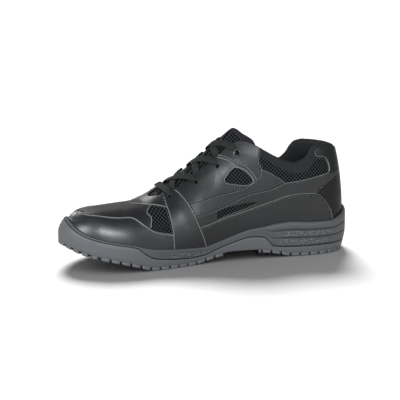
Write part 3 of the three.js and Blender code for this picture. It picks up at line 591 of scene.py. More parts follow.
def pressed_foam(name, colour, pebble, groove):
    """Pressed EVA foam: matt, raised pebbles with painted lighter tops, and painted shade where the mesh
    says so.
    """
    material, tree, shader = new_material(name, Base_Color=linear(colour), Roughness=0.58,
                                          Specular_IOR_Level=0.4)
    place = add(tree, "ShaderNodeTexCoord")
    axes = add(tree, "ShaderNodeSeparateXYZ", [("Vector", place.outputs["Object"])])
    side = add(tree, "ShaderNodeCombineXYZ", [("X", axes.outputs["X"]), ("Y", axes.outputs["Z"])])
    pebbles = add(tree, "ShaderNodeTexVoronoi", [("Vector", side.outputs["Vector"])],
                  voronoi_dimensions="2D", feature="F1", Scale=1 / (PEBBLE_SIZE * MM), Randomness=0.8)
    rounded = add(tree, "ShaderNodeMapRange", [("Value", pebbles.outputs["Distance"])],
                  interpolation_type="SMOOTHSTEP",
                  **{"From Min": 0.25, "From Max": 0.5, "To Min": 1.0, "To Max": 0.0})
    band = add(tree, "ShaderNodeAttribute", attribute_name="pebble")
    height = add(tree, "ShaderNodeMath",
                 [(0, rounded.outputs["Result"]), (1, band.outputs["Fac"])], operation="MULTIPLY")
    skin = add(tree, "ShaderNodeTexNoise", [("Vector", place.outputs["Object"])],
               Scale=1 / (SKIN_SIZE * MM), Detail=3.0)
    fine = add(tree, "ShaderNodeBump", [("Height", skin.outputs["Fac"])], Strength=0.12, Distance=0.2 * MM)
    bump = add(tree, "ShaderNodeBump", [("Height", height.outputs[0]), ("Normal", fine.outputs["Normal"])],
               Strength=0.6, Distance=0.9 * MM)
    # the pebbles' tops are mixed toward the lighter colour: a painted highlight on their relief
    light = add(tree, "ShaderNodeMix", [("Factor", height.outputs[0])], data_type="RGBA",
                i6=linear(colour), i7=linear(pebble))
    # the groove attribute paints shade into the grooves and along the join with the rubber
    line = add(tree, "ShaderNodeAttribute", attribute_name="groove")
    dark = add(tree, "ShaderNodeMix", [("Factor", line.outputs["Fac"]), (6, light.outputs["Result"])],
               data_type="RGBA", i7=linear(groove))
    tree.links.new(dark.outputs["Result"], shader.inputs["Base Color"])
    tree.links.new(bump.outputs["Normal"], shader.inputs["Normal"])
    return material


OUTSOLE_RUBBER = moulded_rubber("nitrile rubber, moulded", "454649")
# the third colour is the painted highlight of the pebbles, the fourth the painted shade of the grooves
MIDSOLE_FOAM = pressed_foam("EVA foam, pressed", "3A3C3E", "494B4E", "131415")
print("pebble width:", PEBBLE_SIZE, "mm")

# %% [markdown]
# The lace is a flat braid and the seams are sewn with a bonded thread. Both are bundles of fine
# polyester, and a woven bump that follows the piece's own UV map shows that without any threads.
# The lace's threads of half a millimetre are drawn at 1.1 to show.

# %% Cord and thread
def braided_cord(name, colour, pitch_mm, roughness=0.75):
    """Braided polyester: matt, its threads crossing at an angle along the cord."""
    material, tree, shader = new_material(name, Base_Color=linear(colour), Roughness=roughness,
                                          Specular_IOR_Level=0.25)
    place = add(tree, "ShaderNodeUVMap", uv_map="UVMap")
    turned = add(tree, "ShaderNodeMapping", [("Vector", place.outputs["UV"])],
                 Rotation=(0, 0, math.radians(45)), Scale=(1 / pitch_mm, 1 / pitch_mm, 1))
    checks = add(tree, "ShaderNodeTexChecker", [("Vector", turned.outputs["Vector"])], Scale=1.0)
    bump = add(tree, "ShaderNodeBump", [("Height", checks.outputs["Fac"])], Strength=0.5, Distance=0.3 * MM)
    tree.links.new(bump.outputs["Normal"], shader.inputs["Normal"])
    return material


LACE_CORD = braided_cord("polyester lace, braided", "151817", 1.1)
THREAD = braided_cord("polyester sewing thread, bonded", "4C4D4F", 0.4, 0.5)
print("lace:", LACE_CORD.name)

# %% [markdown]
# ## Sole
# The foam cup and the rubber tray are moulded. They could be swept along the outline, but their
# side changes its profile all the way round. So each is one grid, wrapped round the foot: its
# columns run round the outline and its rows climb the side. At the bottom and at the top the last
# rows run in to the middle of the foot and meet, which closes the piece.

# %% Wrapped grids
COLUMNS = 384
MERGE, SLIVER = 2e-6, 1e-7


def link(name, bm, *materials):
    """Turns a bmesh into a smooth shaded object at the origin."""
    mesh = bpy.data.meshes.new(name)
    bm.to_mesh(mesh)
    bm.free()
    mesh.shade_smooth()
    for material in materials:
        mesh.materials.append(material)
    piece = bpy.data.objects.new(name, mesh)
    bpy.context.scene.collection.objects.link(piece)
    return piece


def grid_values(across, along):
    """A flat grid and its corners' places, from 0 to 1 both ways."""
    bm = bmesh.new()
    bmesh.ops.create_grid(bm, x_segments=across, y_segments=along, size=0.5)
    flat = np.array([v.co[:2] for v in bm.verts]) + 0.5
    return bm, flat[:, 0], flat[:, 1]


def moved(bm, points):
    """Moves the corners of a bmesh to points given in metres."""
    for vert, point in zip(bm.verts, points):
        vert.co = point


def sealed(bm):
    """Merges the corners along seams and at poles, fills open ends and turns all faces outwards."""
    bmesh.ops.remove_doubles(bm, verts=bm.verts, dist=MERGE)
    bmesh.ops.holes_fill(bm, edges=[e for e in bm.edges if e.is_boundary], sides=0)
    bmesh.ops.recalc_face_normals(bm, faces=bm.faces)


def put(bm, points):
    """Moves the corners of a bmesh to points on the foot and closes seams and poles."""
    moved(bm, to_frame(points))
    bmesh.ops.remove_doubles(bm, verts=bm.verts, dist=MERGE)
    bmesh.ops.dissolve_degenerate(bm, edges=bm.edges, dist=SLIVER)
    bmesh.ops.recalc_face_normals(bm, faces=bm.faces)


print("places round the foot:", COLUMNS)

# %% [markdown]
# The heights of the sole are functions of the station along the foot, so that they can be raised,
# shared and mixed before anything is built.

# %% Heights of the sole
def lifted(column, rise=0.0):
    """One line of the sole, raised."""
    return lambda station: sole(column, station) + rise


def side_share(share):
    """Height on the foam's side, from the rubber's edge to the bite line."""
    return lambda s: (sole(WRAP, s) + GAP) * (1 - share) + sole(BITE, s) * share


def lip_share(share):
    """Height on the foam's inside, from the inner floor to the bite line."""
    return lambda s: sole(BED, s) * (1 - share) + sole(BITE, s) * share


def floor_top(s):
    """The rubber's floor, on which the foam rests."""
    return np.minimum(sole(UNDER, s) + LUG_DEPTH + FLOOR, sole(WRAP, s) - RUBBER)


def mixed(low, high, share=0.5):
    """A height between two others."""
    return lambda s: low(s) * (1 - share) + high(s) * share


def grooved(share_of_depth):
    """Reach of the foam's side in a groove, 1 at its bottom."""
    return lambda s: EDGE - share_of_depth * sole(GROOVE, s)


def ring_points(q, height, reach):
    """One level ring: its height and its reach from the last, plain values or functions."""
    station = rib(q)[:, 0]
    reach = reach(station) if callable(reach) else np.full(len(q), reach)
    return wall_point(q, height(station), reach)


def stacked(rings):
    """Closed piece from rings, each a height and a reach. A third value runs in to the middle."""
    bm, u, v = grid_values(COLUMNS, len(rings) - 1)
    p = u * RING
    level = np.rint(v * (len(rings) - 1)).astype(int)
    points = np.zeros((len(p), 3))
    for k, (height, reach, *inward) in enumerate(rings):
        at = level == k
        here = ring_points(p[at], height, reach)
        if inward:
            other = ring_points(RING - p[at], height, reach)
            here = here + (here / 2 + other / 2 - here) * inward[0]
        points[at] = here
    put(bm, points)
    return bm


print("rubber's floor under the heel:", float(floor_top(30.0)), "mm up")

# %% [markdown]
# The cup carries the foot and wraps its side. Its inside is a plain bowl for the insole. Outside,
# grooves run round it, deepest at the heel, and where it meets the rubber it is drawn in, and
# painted shade there darkens the line between the two. Each groove is five rings of the grid.

# %% Foam cup
GROOVE_AT, UPPER_GROOVE_AT = 0.36, 0.67


def above_rubber(rise):
    """A height just above the rubber's edge, where the foam is drawn in and painted shade darkens it."""
    return lambda s: sole(WRAP, s) + GAP + np.minimum(rise, 0.3 * (sole(BITE, s) - sole(WRAP, s) - GAP))


def groove_rings(share):
    """A narrow rounded groove round the foam's side."""
    return [(side_share(share - 0.035), EDGE), (side_share(share - 0.02), grooved(0.35)),
            (side_share(share), grooved(1.0)), (side_share(share + 0.02), grooved(0.35)),
            (side_share(share + 0.035), EDGE)]


def foam_cup():
    """Profile from the middle of the underside, round the lip, to the middle of the inner floor."""
    def base(s):
        return floor_top(s) + GAP
    low = mixed(floor_top, lifted(WRAP))
    rings = [(base, LIP_OUTSIDE - 1, 1.0), (base, LIP_OUTSIDE - 1, 0.5),
             (base, LIP_OUTSIDE - 1), (low, LIP_OUTSIDE),
             (lifted(WRAP), LIP_OUTSIDE), (side_share(0), LIP_OUTSIDE),
             (above_rubber(0.05), EDGE - 1.1), (above_rubber(0.3), EDGE - 1.0),
             (above_rubber(0.55), EDGE - 0.35), (above_rubber(0.8), EDGE - 0.05)]
    rings += [(mixed(above_rubber(0.8), side_share(0.31), share), EDGE) for share in (0.2, 0.4, 0.7, 1)]
    rings += groove_rings(GROOVE_AT) + [(side_share(share), EDGE) for share in (0.42, 0.5, 0.58, 0.61)]
    rings += groove_rings(UPPER_GROOVE_AT)
    rings += [(side_share(0.80), EDGE), (side_share(0.90), EDGE - 0.15), (side_share(0.96), EDGE - 0.7),
              (side_share(0.99), EDGE - 1.5), (side_share(1.0), LIP_INSIDE + 0.4)]
    rings += [(lip_share(share), LIP_INSIDE) for share in (0.97, 0.75, 0.5, 0.25)]
    rings += [(lifted(BED, -GAP), LIP_INSIDE), (lifted(BED, -GAP), LIP_INSIDE, 0.5),
              (lifted(BED, -GAP), LIP_INSIDE, 1.0)]
    return link("midsole_foam_cup", stacked(rings), MIDSOLE_FOAM)


foam = foam_cup()
print("foam cup faces:", len(foam.data.polygons))

# %% [markdown]
# The foam's side has two pebbled bands behind the arch and one in front of it, parted by the lower
# groove. Each band fades at its ends. The material reads them from the mesh, so that they follow
# the sole's own lines.

# %% Pebbled bands, and painted shade in the grooves
REAR_BAND, FRONT_BAND = (14, 30, 74, 86), (150, 158, 192, 200)


def soft_step(value, start, end):
    """Rises smoothly from 0 to 1 between start and end."""
    t = np.clip((value - start) / (end - start), 0, 1)
    return t * t * (3 - 2 * t)


def hill(value, start, full, fading, end):
    """Rises softly to 1, stays there and falls softly again."""
    return soft_step(value, start, full) * (1 - soft_step(value, fading, end))


def mark_moulding(piece):
    """Writes the pebbled bands and the painted shade of the grooves and the rubber's edge, as attributes
    from 0 to 1.
    """
    x, y, z = np.array([v.co[:] for v in piece.data.vertices]).T / MM
    station = MIDDLE[0] - x
    low, high = sole(WRAP, station) + GAP, sole(BITE, station)
    share = (z - low) / np.maximum(high - low, 0.1)
    from_groove, from_upper = np.abs(share - GROOVE_AT), np.abs(share - UPPER_GROOVE_AT)
    rear = hill(station, *REAR_BAND) * hill(share, 0.06, 0.10, 0.60, 0.63)
    rear = rear * soft_step(from_groove, 0.035, 0.05)
    front = hill(station, *FRONT_BAND) * hill(share, 0.05, 0.12, 0.55, 0.62)
    outside = soft_step(np.abs(y), 20, 26)
    # painted shade: dark lines along the grooves, and just above the rubber
    line = 1 - soft_step(np.minimum(from_groove, from_upper), 0.012, 0.034)
    line = line * np.clip(sole(GROOVE, station), 0, 1) * outside
    painted_join_shade = 1 - soft_step(z - low, 0.2, 0.7)
    marks = {"pebble": np.maximum(rear, front) * outside, "groove": np.maximum(line, painted_join_shade)}
    for name, value in marks.items():
        data = piece.data.attributes.new(name, "FLOAT", "POINT")
        data.data.foreach_set("value", value.astype(np.float32))


mark_moulding(foam)
print("marks on the foam:", [a.name for a in foam.data.attributes if a.name in ("pebble", "groove")])

# %% [markdown]
# At the back of the heel a working sole is drawn in toward the floor, so that each step rolls off
# softly. One smooth move of the corners does it for the cup and the tray alike, so they still fit.

# %% Round heel
HEEL_DRAWN_IN, HEEL_ROUND_HEIGHT, HEEL_ROUND_REACH = 5.0, 22.0, 34.0


def round_heel(piece):
    """Draws the back of the heel in toward the floor."""
    for v in piece.data.vertices:
        station, height = MIDDLE[0] - v.co.x / MM, v.co.z / MM
        low = 1 - min(height / HEEL_ROUND_HEIGHT, 1)
        near = float(1 - soft_step(station, 0, HEEL_ROUND_REACH))
        v.co.x -= HEEL_DRAWN_IN * MM * low ** 1.5 * near


round_heel(foam)
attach(foam, "root")
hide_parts("midsole")
print("foam cup height:", round(foam.dimensions.z, 4), "m")

# %% [markdown]
# The rubber tray is the outsole without its tread: a floor with a thin wall that wraps the foam and
# rises to a bumper at the toe. It is made as the cup is.

# %% Rubber tray
def rubber_tray():
    """Profile from the middle of the underside, up the side, to the middle of the floor."""
    low = lifted(UNDER, LUG_DEPTH)
    rings = [(low, EDGE - 3, 1.0), (low, EDGE - 3, 0.5), (low, EDGE - 3), (low, EDGE - 0.5),
             (lifted(UNDER, LUG_DEPTH + 0.3), EDGE - 0.1)]
    side = lifted(UNDER, LUG_DEPTH + 0.6)
    rings += [(mixed(side, lifted(WRAP, -0.6), share), EDGE) for share in (0, 0.25, 0.5, 0.75, 1)]
    rings += [(lifted(WRAP, -0.2), EDGE - 0.12), (lifted(WRAP, 0), EDGE - 0.5),
              (lifted(WRAP, 0), RUBBER_INSIDE), (mixed(floor_top, lifted(WRAP)), RUBBER_INSIDE),
              (floor_top, RUBBER_INSIDE - 1), (floor_top, RUBBER_INSIDE - 1, 0.5),
              (floor_top, RUBBER_INSIDE - 1, 1.0)]
    return stacked(rings)


tray = rubber_tray()
print("tray faces:", len(tray.faces))

# %% [markdown]
# The tread is a plate with the outline of the sole. Straight cuts part it into blocks and lugs, the
# strips between them are taken away, and what is left is drawn down to the floor.

# %% Tread sizes and the plate
BLOCK_PITCH, BLOCK_SPACING, BLOCK_GROOVE, SIPE = 24.0, 24.0, 4.0, 2.4
TREAD_ZONES = [(0.03, 0.33), (0.48, 0.985)]
EDGE_PITCH, EDGE_WIDTH = 10.0, 6.5
EDGE_ZONES = [(0, 0.34), (0.47, 1.01)]
TOE_LUGS_FROM = 0.88


def cut_lines(bm, faces, axis, places):
    """Cuts faces with straight lines across one axis."""
    normal = (1, 0, 0) if axis == 0 else (0, 1, 0)
    for place in places:
        geom = set(faces)
        geom |= {e for f in faces for e in f.edges} | {v for f in faces for v in f.verts}
        centre = (place, 0, 0) if axis == 0 else (0, place, 0)
        made = bmesh.ops.bisect_plane(bm, geom=list(geom), dist=1e-4, plane_co=centre, plane_no=normal)
        faces = [g for g in made["geom"] if isinstance(g, bmesh.types.BMFace)]
    return faces


def tread_plate():
    """Flat plate inside the sole's outline, in millimetres along and across the foot."""
    bm = bmesh.new()
    p = np.linspace(0, RING, 240, endpoint=False)
    base, away = outline(p)
    rim = base[:, :2] - (EDGE_WIDTH + 2) * away
    verts = [bm.verts.new((s, y, 0)) for s, y in rim]
    bm.faces.new(verts)
    return bm


def drawn_down(bm):
    """Gives flat lugs their depth, with a small bevel round the tread face."""
    made = bmesh.ops.extrude_face_region(bm, geom=bm.faces[:])
    low = {g for g in made["geom"] if isinstance(g, bmesh.types.BMVert)}
    for v in bm.verts:
        v.co.z = -1.0 if v in low else 0.0
    bmesh.ops.recalc_face_normals(bm, faces=bm.faces)
    rim = [e for e in bm.edges if all(v in low for v in e.verts)]
    bmesh.ops.bevel(bm, geom=rim, offset=0.3, segments=2, profile=0.5, affect="EDGES", material=-1)
    co = np.array([v.co[:] for v in bm.verts])
    height = sole(UNDER, co[:, 0]) + (LUG_DEPTH + 0.4) * (1 + co[:, 2])
    put(bm, np.stack([co[:, 0], co[:, 1], height], -1))
    return bm


print("block pitch:", BLOCK_PITCH, "mm")

# %% [markdown]
# Small lugs stand flush with the sole's side, and show there as a row of notches. Their ring is
# divided into fifths of a pitch. A gap takes one fifth, and two fifths at the toe.

# %% Lugs at the edge
def edge_lugs():
    """Cells of a ring at the sole's side, without the gaps between the lugs."""
    walk = np.linspace(0, RING, 2401)
    length = np.concatenate([[0], np.cumsum(np.linalg.norm(np.diff(rib(walk)[:, :2], axis=0), axis=1))])
    count = 5 * round(length[-1] / EDGE_PITCH)
    bm, u, v = grid_values(count, 1)
    p = np.interp(u * length[-1], length, walk)
    base, away = outline(p)
    reach = np.where(v > 0.5, EDGE_WIDTH, 0.0)
    flat = base[:, :2] - reach[:, None] * away
    moved(bm, np.column_stack([flat, np.zeros(len(flat))]))
    cells = sorted(bm.faces, key=lambda f: f.index)
    gone = []
    for i, face in enumerate(cells):
        station = face.calc_center_median().x
        in_zone = any(a * LENGTH < station < b * LENGTH for a, b in EDGE_ZONES)
        gap = 2 if station > TOE_LUGS_FROM * LENGTH else 1
        if i % 5 < gap or not in_zone:
            gone.append(face)
    bmesh.ops.delete(bm, geom=gone, context="FACES")
    return drawn_down(bm)


small_lugs = edge_lugs()
print("faces of the small lugs:", len(small_lugs.faces))

# %% [markdown]
# The blocks of the tread stand in rows across the foot, every second row shifted by half a block.
# A cross of narrow sipes parts each block into four lugs, which grip on a wet kitchen floor.

# %% Blocks of the tread
def block_rows():
    """Start, end and number of each row of blocks along the foot."""
    rows = []
    for start, end in TREAD_ZONES:
        count = round((end - start) * LENGTH / BLOCK_PITCH)
        for i in range(count):
            station = (start + (end - start) * (i + 0.5) / count) * LENGTH
            half = (BLOCK_PITCH - BLOCK_GROOVE) / 2
            rows.append((station - half, station + half, i))
    return rows


def lugs():
    """The plate cut along all lines, without the strips between the lugs."""
    bm = tread_plate()
    rows = block_rows()
    half_sipe = SIPE / 2
    lines = [x for start, end, _ in rows
             for x in (start, (start + end) / 2 - half_sipe, (start + end) / 2 + half_sipe, end)]
    cut_lines(bm, list(bm.faces), 0, lines)
    kept = []
    for start, end, i in rows:
        for low, high in ((start, (start + end) / 2 - half_sipe), ((start + end) / 2 + half_sipe, end)):
            strip = [f for f in bm.faces if low < f.calc_center_median().x < high]
            middles = [(k + (i % 2) / 2) * BLOCK_SPACING for k in range(-3, 4)]
            half = (BLOCK_SPACING - BLOCK_GROOVE) / 2
            sides = [y for m in middles for y in (m - half, m - half_sipe, m + half_sipe, m + half)]
            strip = cut_lines(bm, strip, 1, sides)
            on_lug = [(m - half, m - half_sipe) for m in middles]
            on_lug += [(m + half_sipe, m + half) for m in middles]
            kept += [f for f in strip if any(a < f.calc_center_median().y < b for a, b in on_lug)]
    keep = set(kept)
    bmesh.ops.delete(bm, geom=[f for f in bm.faces if f not in keep], context="FACES")
    small = [f for f in bm.faces if f.calc_area() < 9]
    bmesh.ops.delete(bm, geom=small, context="FACES")
    return drawn_down(bm)


blocks = lugs()
print("faces of the blocks:", len(blocks.faces))


# %% One outsole
def joined(*parts):
    """One bmesh that holds several."""
    whole = bmesh.new()
    for part in parts:
        mesh = bpy.data.meshes.new("part")
        part.to_mesh(mesh)
        part.free()
        whole.from_mesh(mesh)
        bpy.data.meshes.remove(mesh)
    return whole


outsole = link("outsole_rubber_tray", joined(tray, blocks, small_lugs), OUTSOLE_RUBBER)
round_heel(outsole)
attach(outsole, "root")
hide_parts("outsole")
print("outsole faces:", len(outsole.data.polygons))

# %% [markdown]
# ## Upper
# The upper is one shell: mesh outside, lining inside, and a foam collar between them that swells
# inwards and rolls over the topline. It could be a surface with thickness, but the collar's foam
# makes that uneven. So its grid runs up the outside, round the edge and down the inside. In front
# of the throat both sides meet on the crest, and the rolled strip there is taken away.

# %% Profile of the shell
FOAM_FROM, FOAM_TO, FOAM_SHARE = 4.0, 5.5, 0.45
OUTER_STEPS, EDGE_STEPS, INNER_STEPS = 40, 8, 30
PROFILE = OUTER_STEPS + EDGE_STEPS + INNER_STEPS
CLOSED_FROM = 10.45


def inner_side(p, share):
    """Distance of the lining from the last, with the collar's foam."""
    row = np.minimum(p % RING, RING - p % RING)
    collar = 1 - soft_step(row, FOAM_FROM, FOAM_TO)
    return -WALL - COLLAR_PAD * collar * soft_step(share, FOAM_SHARE, 0.9)


def shell_points(p, step):
    """Points of the shell's closed profile at ring place p and profile step."""
    rim = rim_angle(p)
    outward = np.clip(step / OUTER_STEPS, 0, 1)
    inward = np.clip((PROFILE - step) / INNER_STEPS, 0, 1)
    outside = form_point(p, rim * outward, 0.0)
    inside = form_point(p, rim * inward, inner_side(p, inward))
    turn = np.clip((step - OUTER_STEPS) / EDGE_STEPS, 0, 1) * math.pi
    a = form_point(p, rim, 0.0)
    b = form_point(p, rim, inner_side(p, np.ones_like(p)))
    on = unit(a - form_point(p, rim - 3, 0.0))
    push = np.where(rim > 89.9, 0, 0.5 * np.linalg.norm(a - b, axis=-1))
    rolled = (a + b) / 2 + (a - b) / 2 * np.cos(turn)[..., None] + on * (push * np.sin(turn))[..., None]
    points = np.where((step <= OUTER_STEPS)[..., None], outside, rolled)
    return np.where((step >= OUTER_STEPS + EDGE_STEPS)[..., None], inside, points)


print("steps of the profile:", PROFILE)


# %% Shell with its collar
def upper_shell():
    """Mesh up to just below the rim, lining from there over the roll and down the inside."""
    bm, u, v = grid_values(COLUMNS, PROFILE)
    p, step = u * RING, np.rint(v * PROFILE)
    points = shell_points(p, step)
    inside_wall = []
    for face in bm.faces:
        middle = face.calc_center_median()
        at, level = (middle.x + 0.5) * RING, (middle.y + 0.5) * PROFILE
        roll = 6 if min(at, RING - at) < FOAM_TO else 2
        face.material_index = 0 if level < OUTER_STEPS - roll else 1
        if OUTER_STEPS < level < OUTER_STEPS + EDGE_STEPS and CLOSED_FROM < min(at, RING - at):
            inside_wall.append(face)
    moved(bm, to_frame(points))
    bmesh.ops.delete(bm, geom=inside_wall, context="FACES")
    bmesh.ops.remove_doubles(bm, verts=bm.verts, dist=MERGE)
    bmesh.ops.dissolve_degenerate(bm, edges=bm.edges, dist=SLIVER)
    bmesh.ops.recalc_face_normals(bm, faces=bm.faces)
    return link("upper_shell", bm, MESH, LINING)


upper = upper_shell()
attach(upper, "root")
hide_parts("upper")
print("upper faces:", len(upper.data.polygons))

# %% [markdown]
# ## Leather
# The leather pieces are cut flat from patterns and sewn on. They could be copied from the shell and
# thickened, but their edges would then be stepped. So a pattern is an outline in the plane of ring
# place and angle, and neighbours share the line of their seam. Windows follow the photograph.

# %% Seams, windows and eyelets, as ring place and angle
SEAMS = {
    "strap_front": [(9.73, 0), (9.73, 16), (9.78, 30), (9.83, 51), (9.80, 66)],
    "strap_back": [(8.15, 0), (8.30, 6), (8.58, 19), (8.88, 38), (9.08, 52), (9.25, 66)],
    "toe_guard": [(16, 77), (15.6, 74), (14.6, 61), (13.9, 56), (12.6, 49), (11.7, 47.5),
                  (11.1, 34), (10.6, 24), (9.73, 16)],
    "throat": [(11.4, 90), (10.7, 68), (9.82, 48)],
    "band_top": [(8.88, 38), (7.4, 30), (6.6, 26), (6.0, 26), (5.5, 30), (5.38, 34)],
    "band_bottom": [(8.67, 24), (7.35, 20), (6.0, 20), (5.1, 20), (4.4, 22)],
    "band_end": [(5.38, 34), (5.0, 30), (4.7, 26), (4.4, 22)],
    "collar_front": [(5.38, 34), (5.45, 40), (5.2, 50)],
    "collar_bottom": [(4.4, 22), (3.65, 22), (2.85, 22), (2.05, 22)],
    "collar_back": [(2.05, 22), (1.98, 25), (2.15, 29.5), (2.65, 32)],
    "quarter_top": [(8.46, 13), (7.5, 12), (6.2, 11), (5.1, 13), (4.05, 15), (3.05, 14)],
    "quarter_back": [(3.05, 14), (2.75, 12), (2.25, 6), (1.95, 0)],
    "counter_top": [(3.05, 14), (2.75, 16), (2.3, 18), (1.6, 20)],
    "counter_back": [(1.6, 20), (0.8, 21), (0, 21)],
    "ridge": [(6.95, 67), (6.38, 46), (6.10, 40), (5.85, 33), (5.73, 28)],
    "mesh_front": [(10.5, 64), (10.85, 52), (10.70, 42), (10.82, 28.5)],
}
WINDOWS = {
    "eyestay": [(6.95, 36), (7.0, 40), (6.6, 44.5), (6.3, 41), (5.85, 29), (6.0, 26.5), (6.4, 29)],
    "quarter": [(7.52, 13.4), (7.6, 16.5), (7.42, 19.2), (6.75, 17), (6.2, 15.6), (5.7, 14), (6.2, 12.6),
                (6.9, 12.8)],
}
EYELETS = [(9.55, 62), (8.25, 58), (7.15, 57), (6.2, 56)]
EYELET_WIDTH = 4.6
print("seams:", len(SEAMS), "windows:", len(WINDOWS), "eyelets a side:", len(EYELETS))

# %% Lines of a pattern
STEP = 1.5


def plane(places):
    """Ring places and angles as flat millimetres."""
    return np.array([(row * ROW_MM, angle * DEGREE_MM) for row, angle in places])


def smooth_line(points, closed=False, step=STEP):
    """Points along a smooth curve through given points, about a step apart."""
    points = np.asarray(points, float)
    if closed:
        around = np.vstack([points[-1], points, points[0], points[1]])
    else:
        around = np.vstack([2 * points[0] - points[1], points, 2 * points[-1] - points[-2]])
    made = []
    for a, b, c, d in zip(around[:-3], around[1:-2], around[2:-1], around[3:]):
        count = max(2, int(np.ceil(np.linalg.norm(c - b) / step)))
        t = (np.arange(count) / count)[:, None]
        made.append(b + 0.5 * t * (c - a + t * (2 * a - 5 * b + 4 * c - d + t * (3 * b - a - 3 * c + d))))
    line = np.vstack(made)
    return line if closed else np.vstack([line, points[-1]])


def seam(name, low=-1, high=99, back=False):
    """Points of a seam between two angles, in the pattern's plane."""
    line = smooth_line(plane(SEAMS[name]))
    angle = line[:, 1] / DEGREE_MM
    line = line[(angle >= low) & (angle <= high)]
    return line[::-1] if back else line


def straight(start, end):
    """Points along a straight line between two places."""
    count = max(2, int(np.linalg.norm(np.subtract(*plane([start, end]))) / STEP))
    return plane(np.linspace(start, end, count))


def topline(start, end):
    """The edge of the upper between two rows."""
    rows = np.linspace(start, end, max(3, int(abs(end - start) * ROW_MM / STEP)))
    return plane(np.stack([rows, rim_angle(rows)], -1))


def mirrored(line):
    """The same line on the other side of the heel, walked back."""
    return (line * (-1, 1))[::-1]


def mirrored_toe(line):
    """The same line on the other side of the toe, walked back."""
    return (np.array([RING * ROW_MM, 0]) + line * (-1, 1))[::-1]


print("toe guard's seam:", len(seam("toe_guard")), "points")

# %% [markdown]
# A flat pattern can't bend between its corners, so it is cut into cells a few millimetres wide
# before it is laid on the last. Three modifiers finish it: one gives the thickness of leather, one
# rounds the cut edge, which takes a lighter grey than the face as a painted highlight, and one evens
# the shading.

# %% Leather pieces
EASE, CELL_ALONG, CELL_UP, LAID_AT = 0.3, 3.0, 2.2, 0.05


def eased(line):
    """The outline drawn in by a hair, so that neighbouring pieces leave a fine dark line."""
    away = np.linalg.norm(line - np.roll(line, 1, axis=0), axis=1)
    line = line[away > EASE * 0.4]
    before, after = np.roll(line, 1, axis=0), np.roll(line, -1, axis=0)
    x, y = line.T
    area = 0.5 * np.sum(x * np.roll(y, -1) - np.roll(x, -1) * y)
    along = unit(after - before)
    inward = np.stack([-along[:, 1], along[:, 0]], -1) * np.sign(area)
    # points on the crest stay, and so does the counter's far corner
    stays = (y > 89.5 * DEGREE_MM) | (x < -50)
    return np.where(stays[:, None], line, line + inward * EASE)


def pattern(outlines):
    """Flat filled pattern with its windows, cut into cells a few millimetres wide."""
    bm = bmesh.new()
    for k, line in enumerate(outlines):
        line = eased(line) if k == 0 else line
        corners = [bm.verts.new((x, y, 0)) for x, y in line]
        for a, b in zip(corners, corners[1:] + corners[:1]):
            bm.edges.new((a, b))
    bmesh.ops.triangle_fill(bm, edges=bm.edges, use_beauty=True, normal=(0, 0, 1))
    points = np.vstack(outlines)
    for axis, pitch in ((0, CELL_ALONG), (1, CELL_UP)):
        low, high = points[:, axis].min(), points[:, axis].max()
        for place in np.arange(low + pitch / 2, high, pitch):
            geom = bm.verts[:] + bm.edges[:] + bm.faces[:]
            centre, normal = ((place, 0, 0), (1, 0, 0)) if axis == 0 else ((0, place, 0), (0, 1, 0))
            bmesh.ops.bisect_plane(bm, geom=geom, dist=1e-3, plane_co=centre, plane_no=normal)
    return bm


def laid(bm, lateral):
    """Lays a pattern on one side of the last, its face outwards."""
    flat = np.array([v.co[:2] for v in bm.verts])
    row, angle = flat[:, 0] / ROW_MM, np.clip(flat[:, 1] / DEGREE_MM, 0, 90)
    p = RING - row if lateral else row
    moved(bm, to_frame(form_point(p, angle, LAID_AT)))
    if not lateral:
        bmesh.ops.reverse_faces(bm, faces=bm.faces)
    return bm


def leather(name, sides, material, thickness, bevel=0.6):
    """Leather piece from laid patterns, one for each side that it covers."""
    bm = joined(*sides)
    bmesh.ops.remove_doubles(bm, verts=bm.verts, dist=3e-5)
    bmesh.ops.dissolve_degenerate(bm, edges=bm.edges, dist=1e-6)
    piece = link(name, bm, material, EDGE_HIGHLIGHT_PAINT)
    solidify = piece.modifiers.new("leather", "SOLIDIFY")
    solidify.thickness, solidify.offset = (thickness - LAID_AT) * MM, 1.0
    # the rim and the rounded cut edge take the second material, a lighter grey that is a painted highlight
    solidify.material_offset_rim = 1
    rounding = piece.modifiers.new("cut edge", "BEVEL")
    rounding.width, rounding.segments, rounding.limit_method = bevel * MM, 3, "ANGLE"
    rounding.angle_limit, rounding.profile, rounding.material = math.radians(50), 0.5, 1
    weighted = piece.modifiers.new("even light", "WEIGHTED_NORMAL")
    weighted.keep_sharp = False
    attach(piece, "root")
    return piece


print("cells of a pattern:", CELL_ALONG, "by", CELL_UP, "mm")


# %% Windows and eyelets
def round_window(place, width):
    """Round hole in the pattern's plane, square to the leather."""
    row, angle = place
    here = form_point(np.array([row, row + 0.1, row]), np.array([angle, angle, angle + 2.0]), 0.0)
    per_row, per_degree = np.linalg.norm(here[1] - here[0]) / 0.1, np.linalg.norm(here[2] - here[0]) / 2
    turn = np.linspace(0, 2 * math.pi, 14, endpoint=False)
    rows = row + np.cos(turn) * width / 2 / per_row
    angles = angle + np.sin(turn) * width / 2 / per_degree
    return plane(np.stack([rows, angles], -1))


def window(name):
    """Edge of a mesh window."""
    return smooth_line(plane(WINDOWS[name]), closed=True, step=1.0)


print("eyestay window:", len(window("eyestay")), "points")

# %% [markdown]
# Each side has five pieces: a strap from the sole to the first eyelet, the eyestay, a rolled band,
# the quarter and the lower quarter. Their outlines go round along the seams. The photograph shows
# only the medial side, and the lateral side repeats it on its own curves.

# %% Outlines of the side pieces
def strap_lines():
    """From the sole up both seams to the rim, with the first eyelet."""
    top = float(rim_angle(9.8)), float(rim_angle(9.25))
    return [np.vstack([seam("strap_front"), straight((9.80, 66), (9.80, top[0])), topline(9.80, 9.25),
                       straight((9.25, top[1]), (9.25, 66)), seam("strap_back", back=True),
                       straight((8.15, 0), (9.73, 0))]),
            round_window(EYELETS[0], EYELET_WIDTH)]


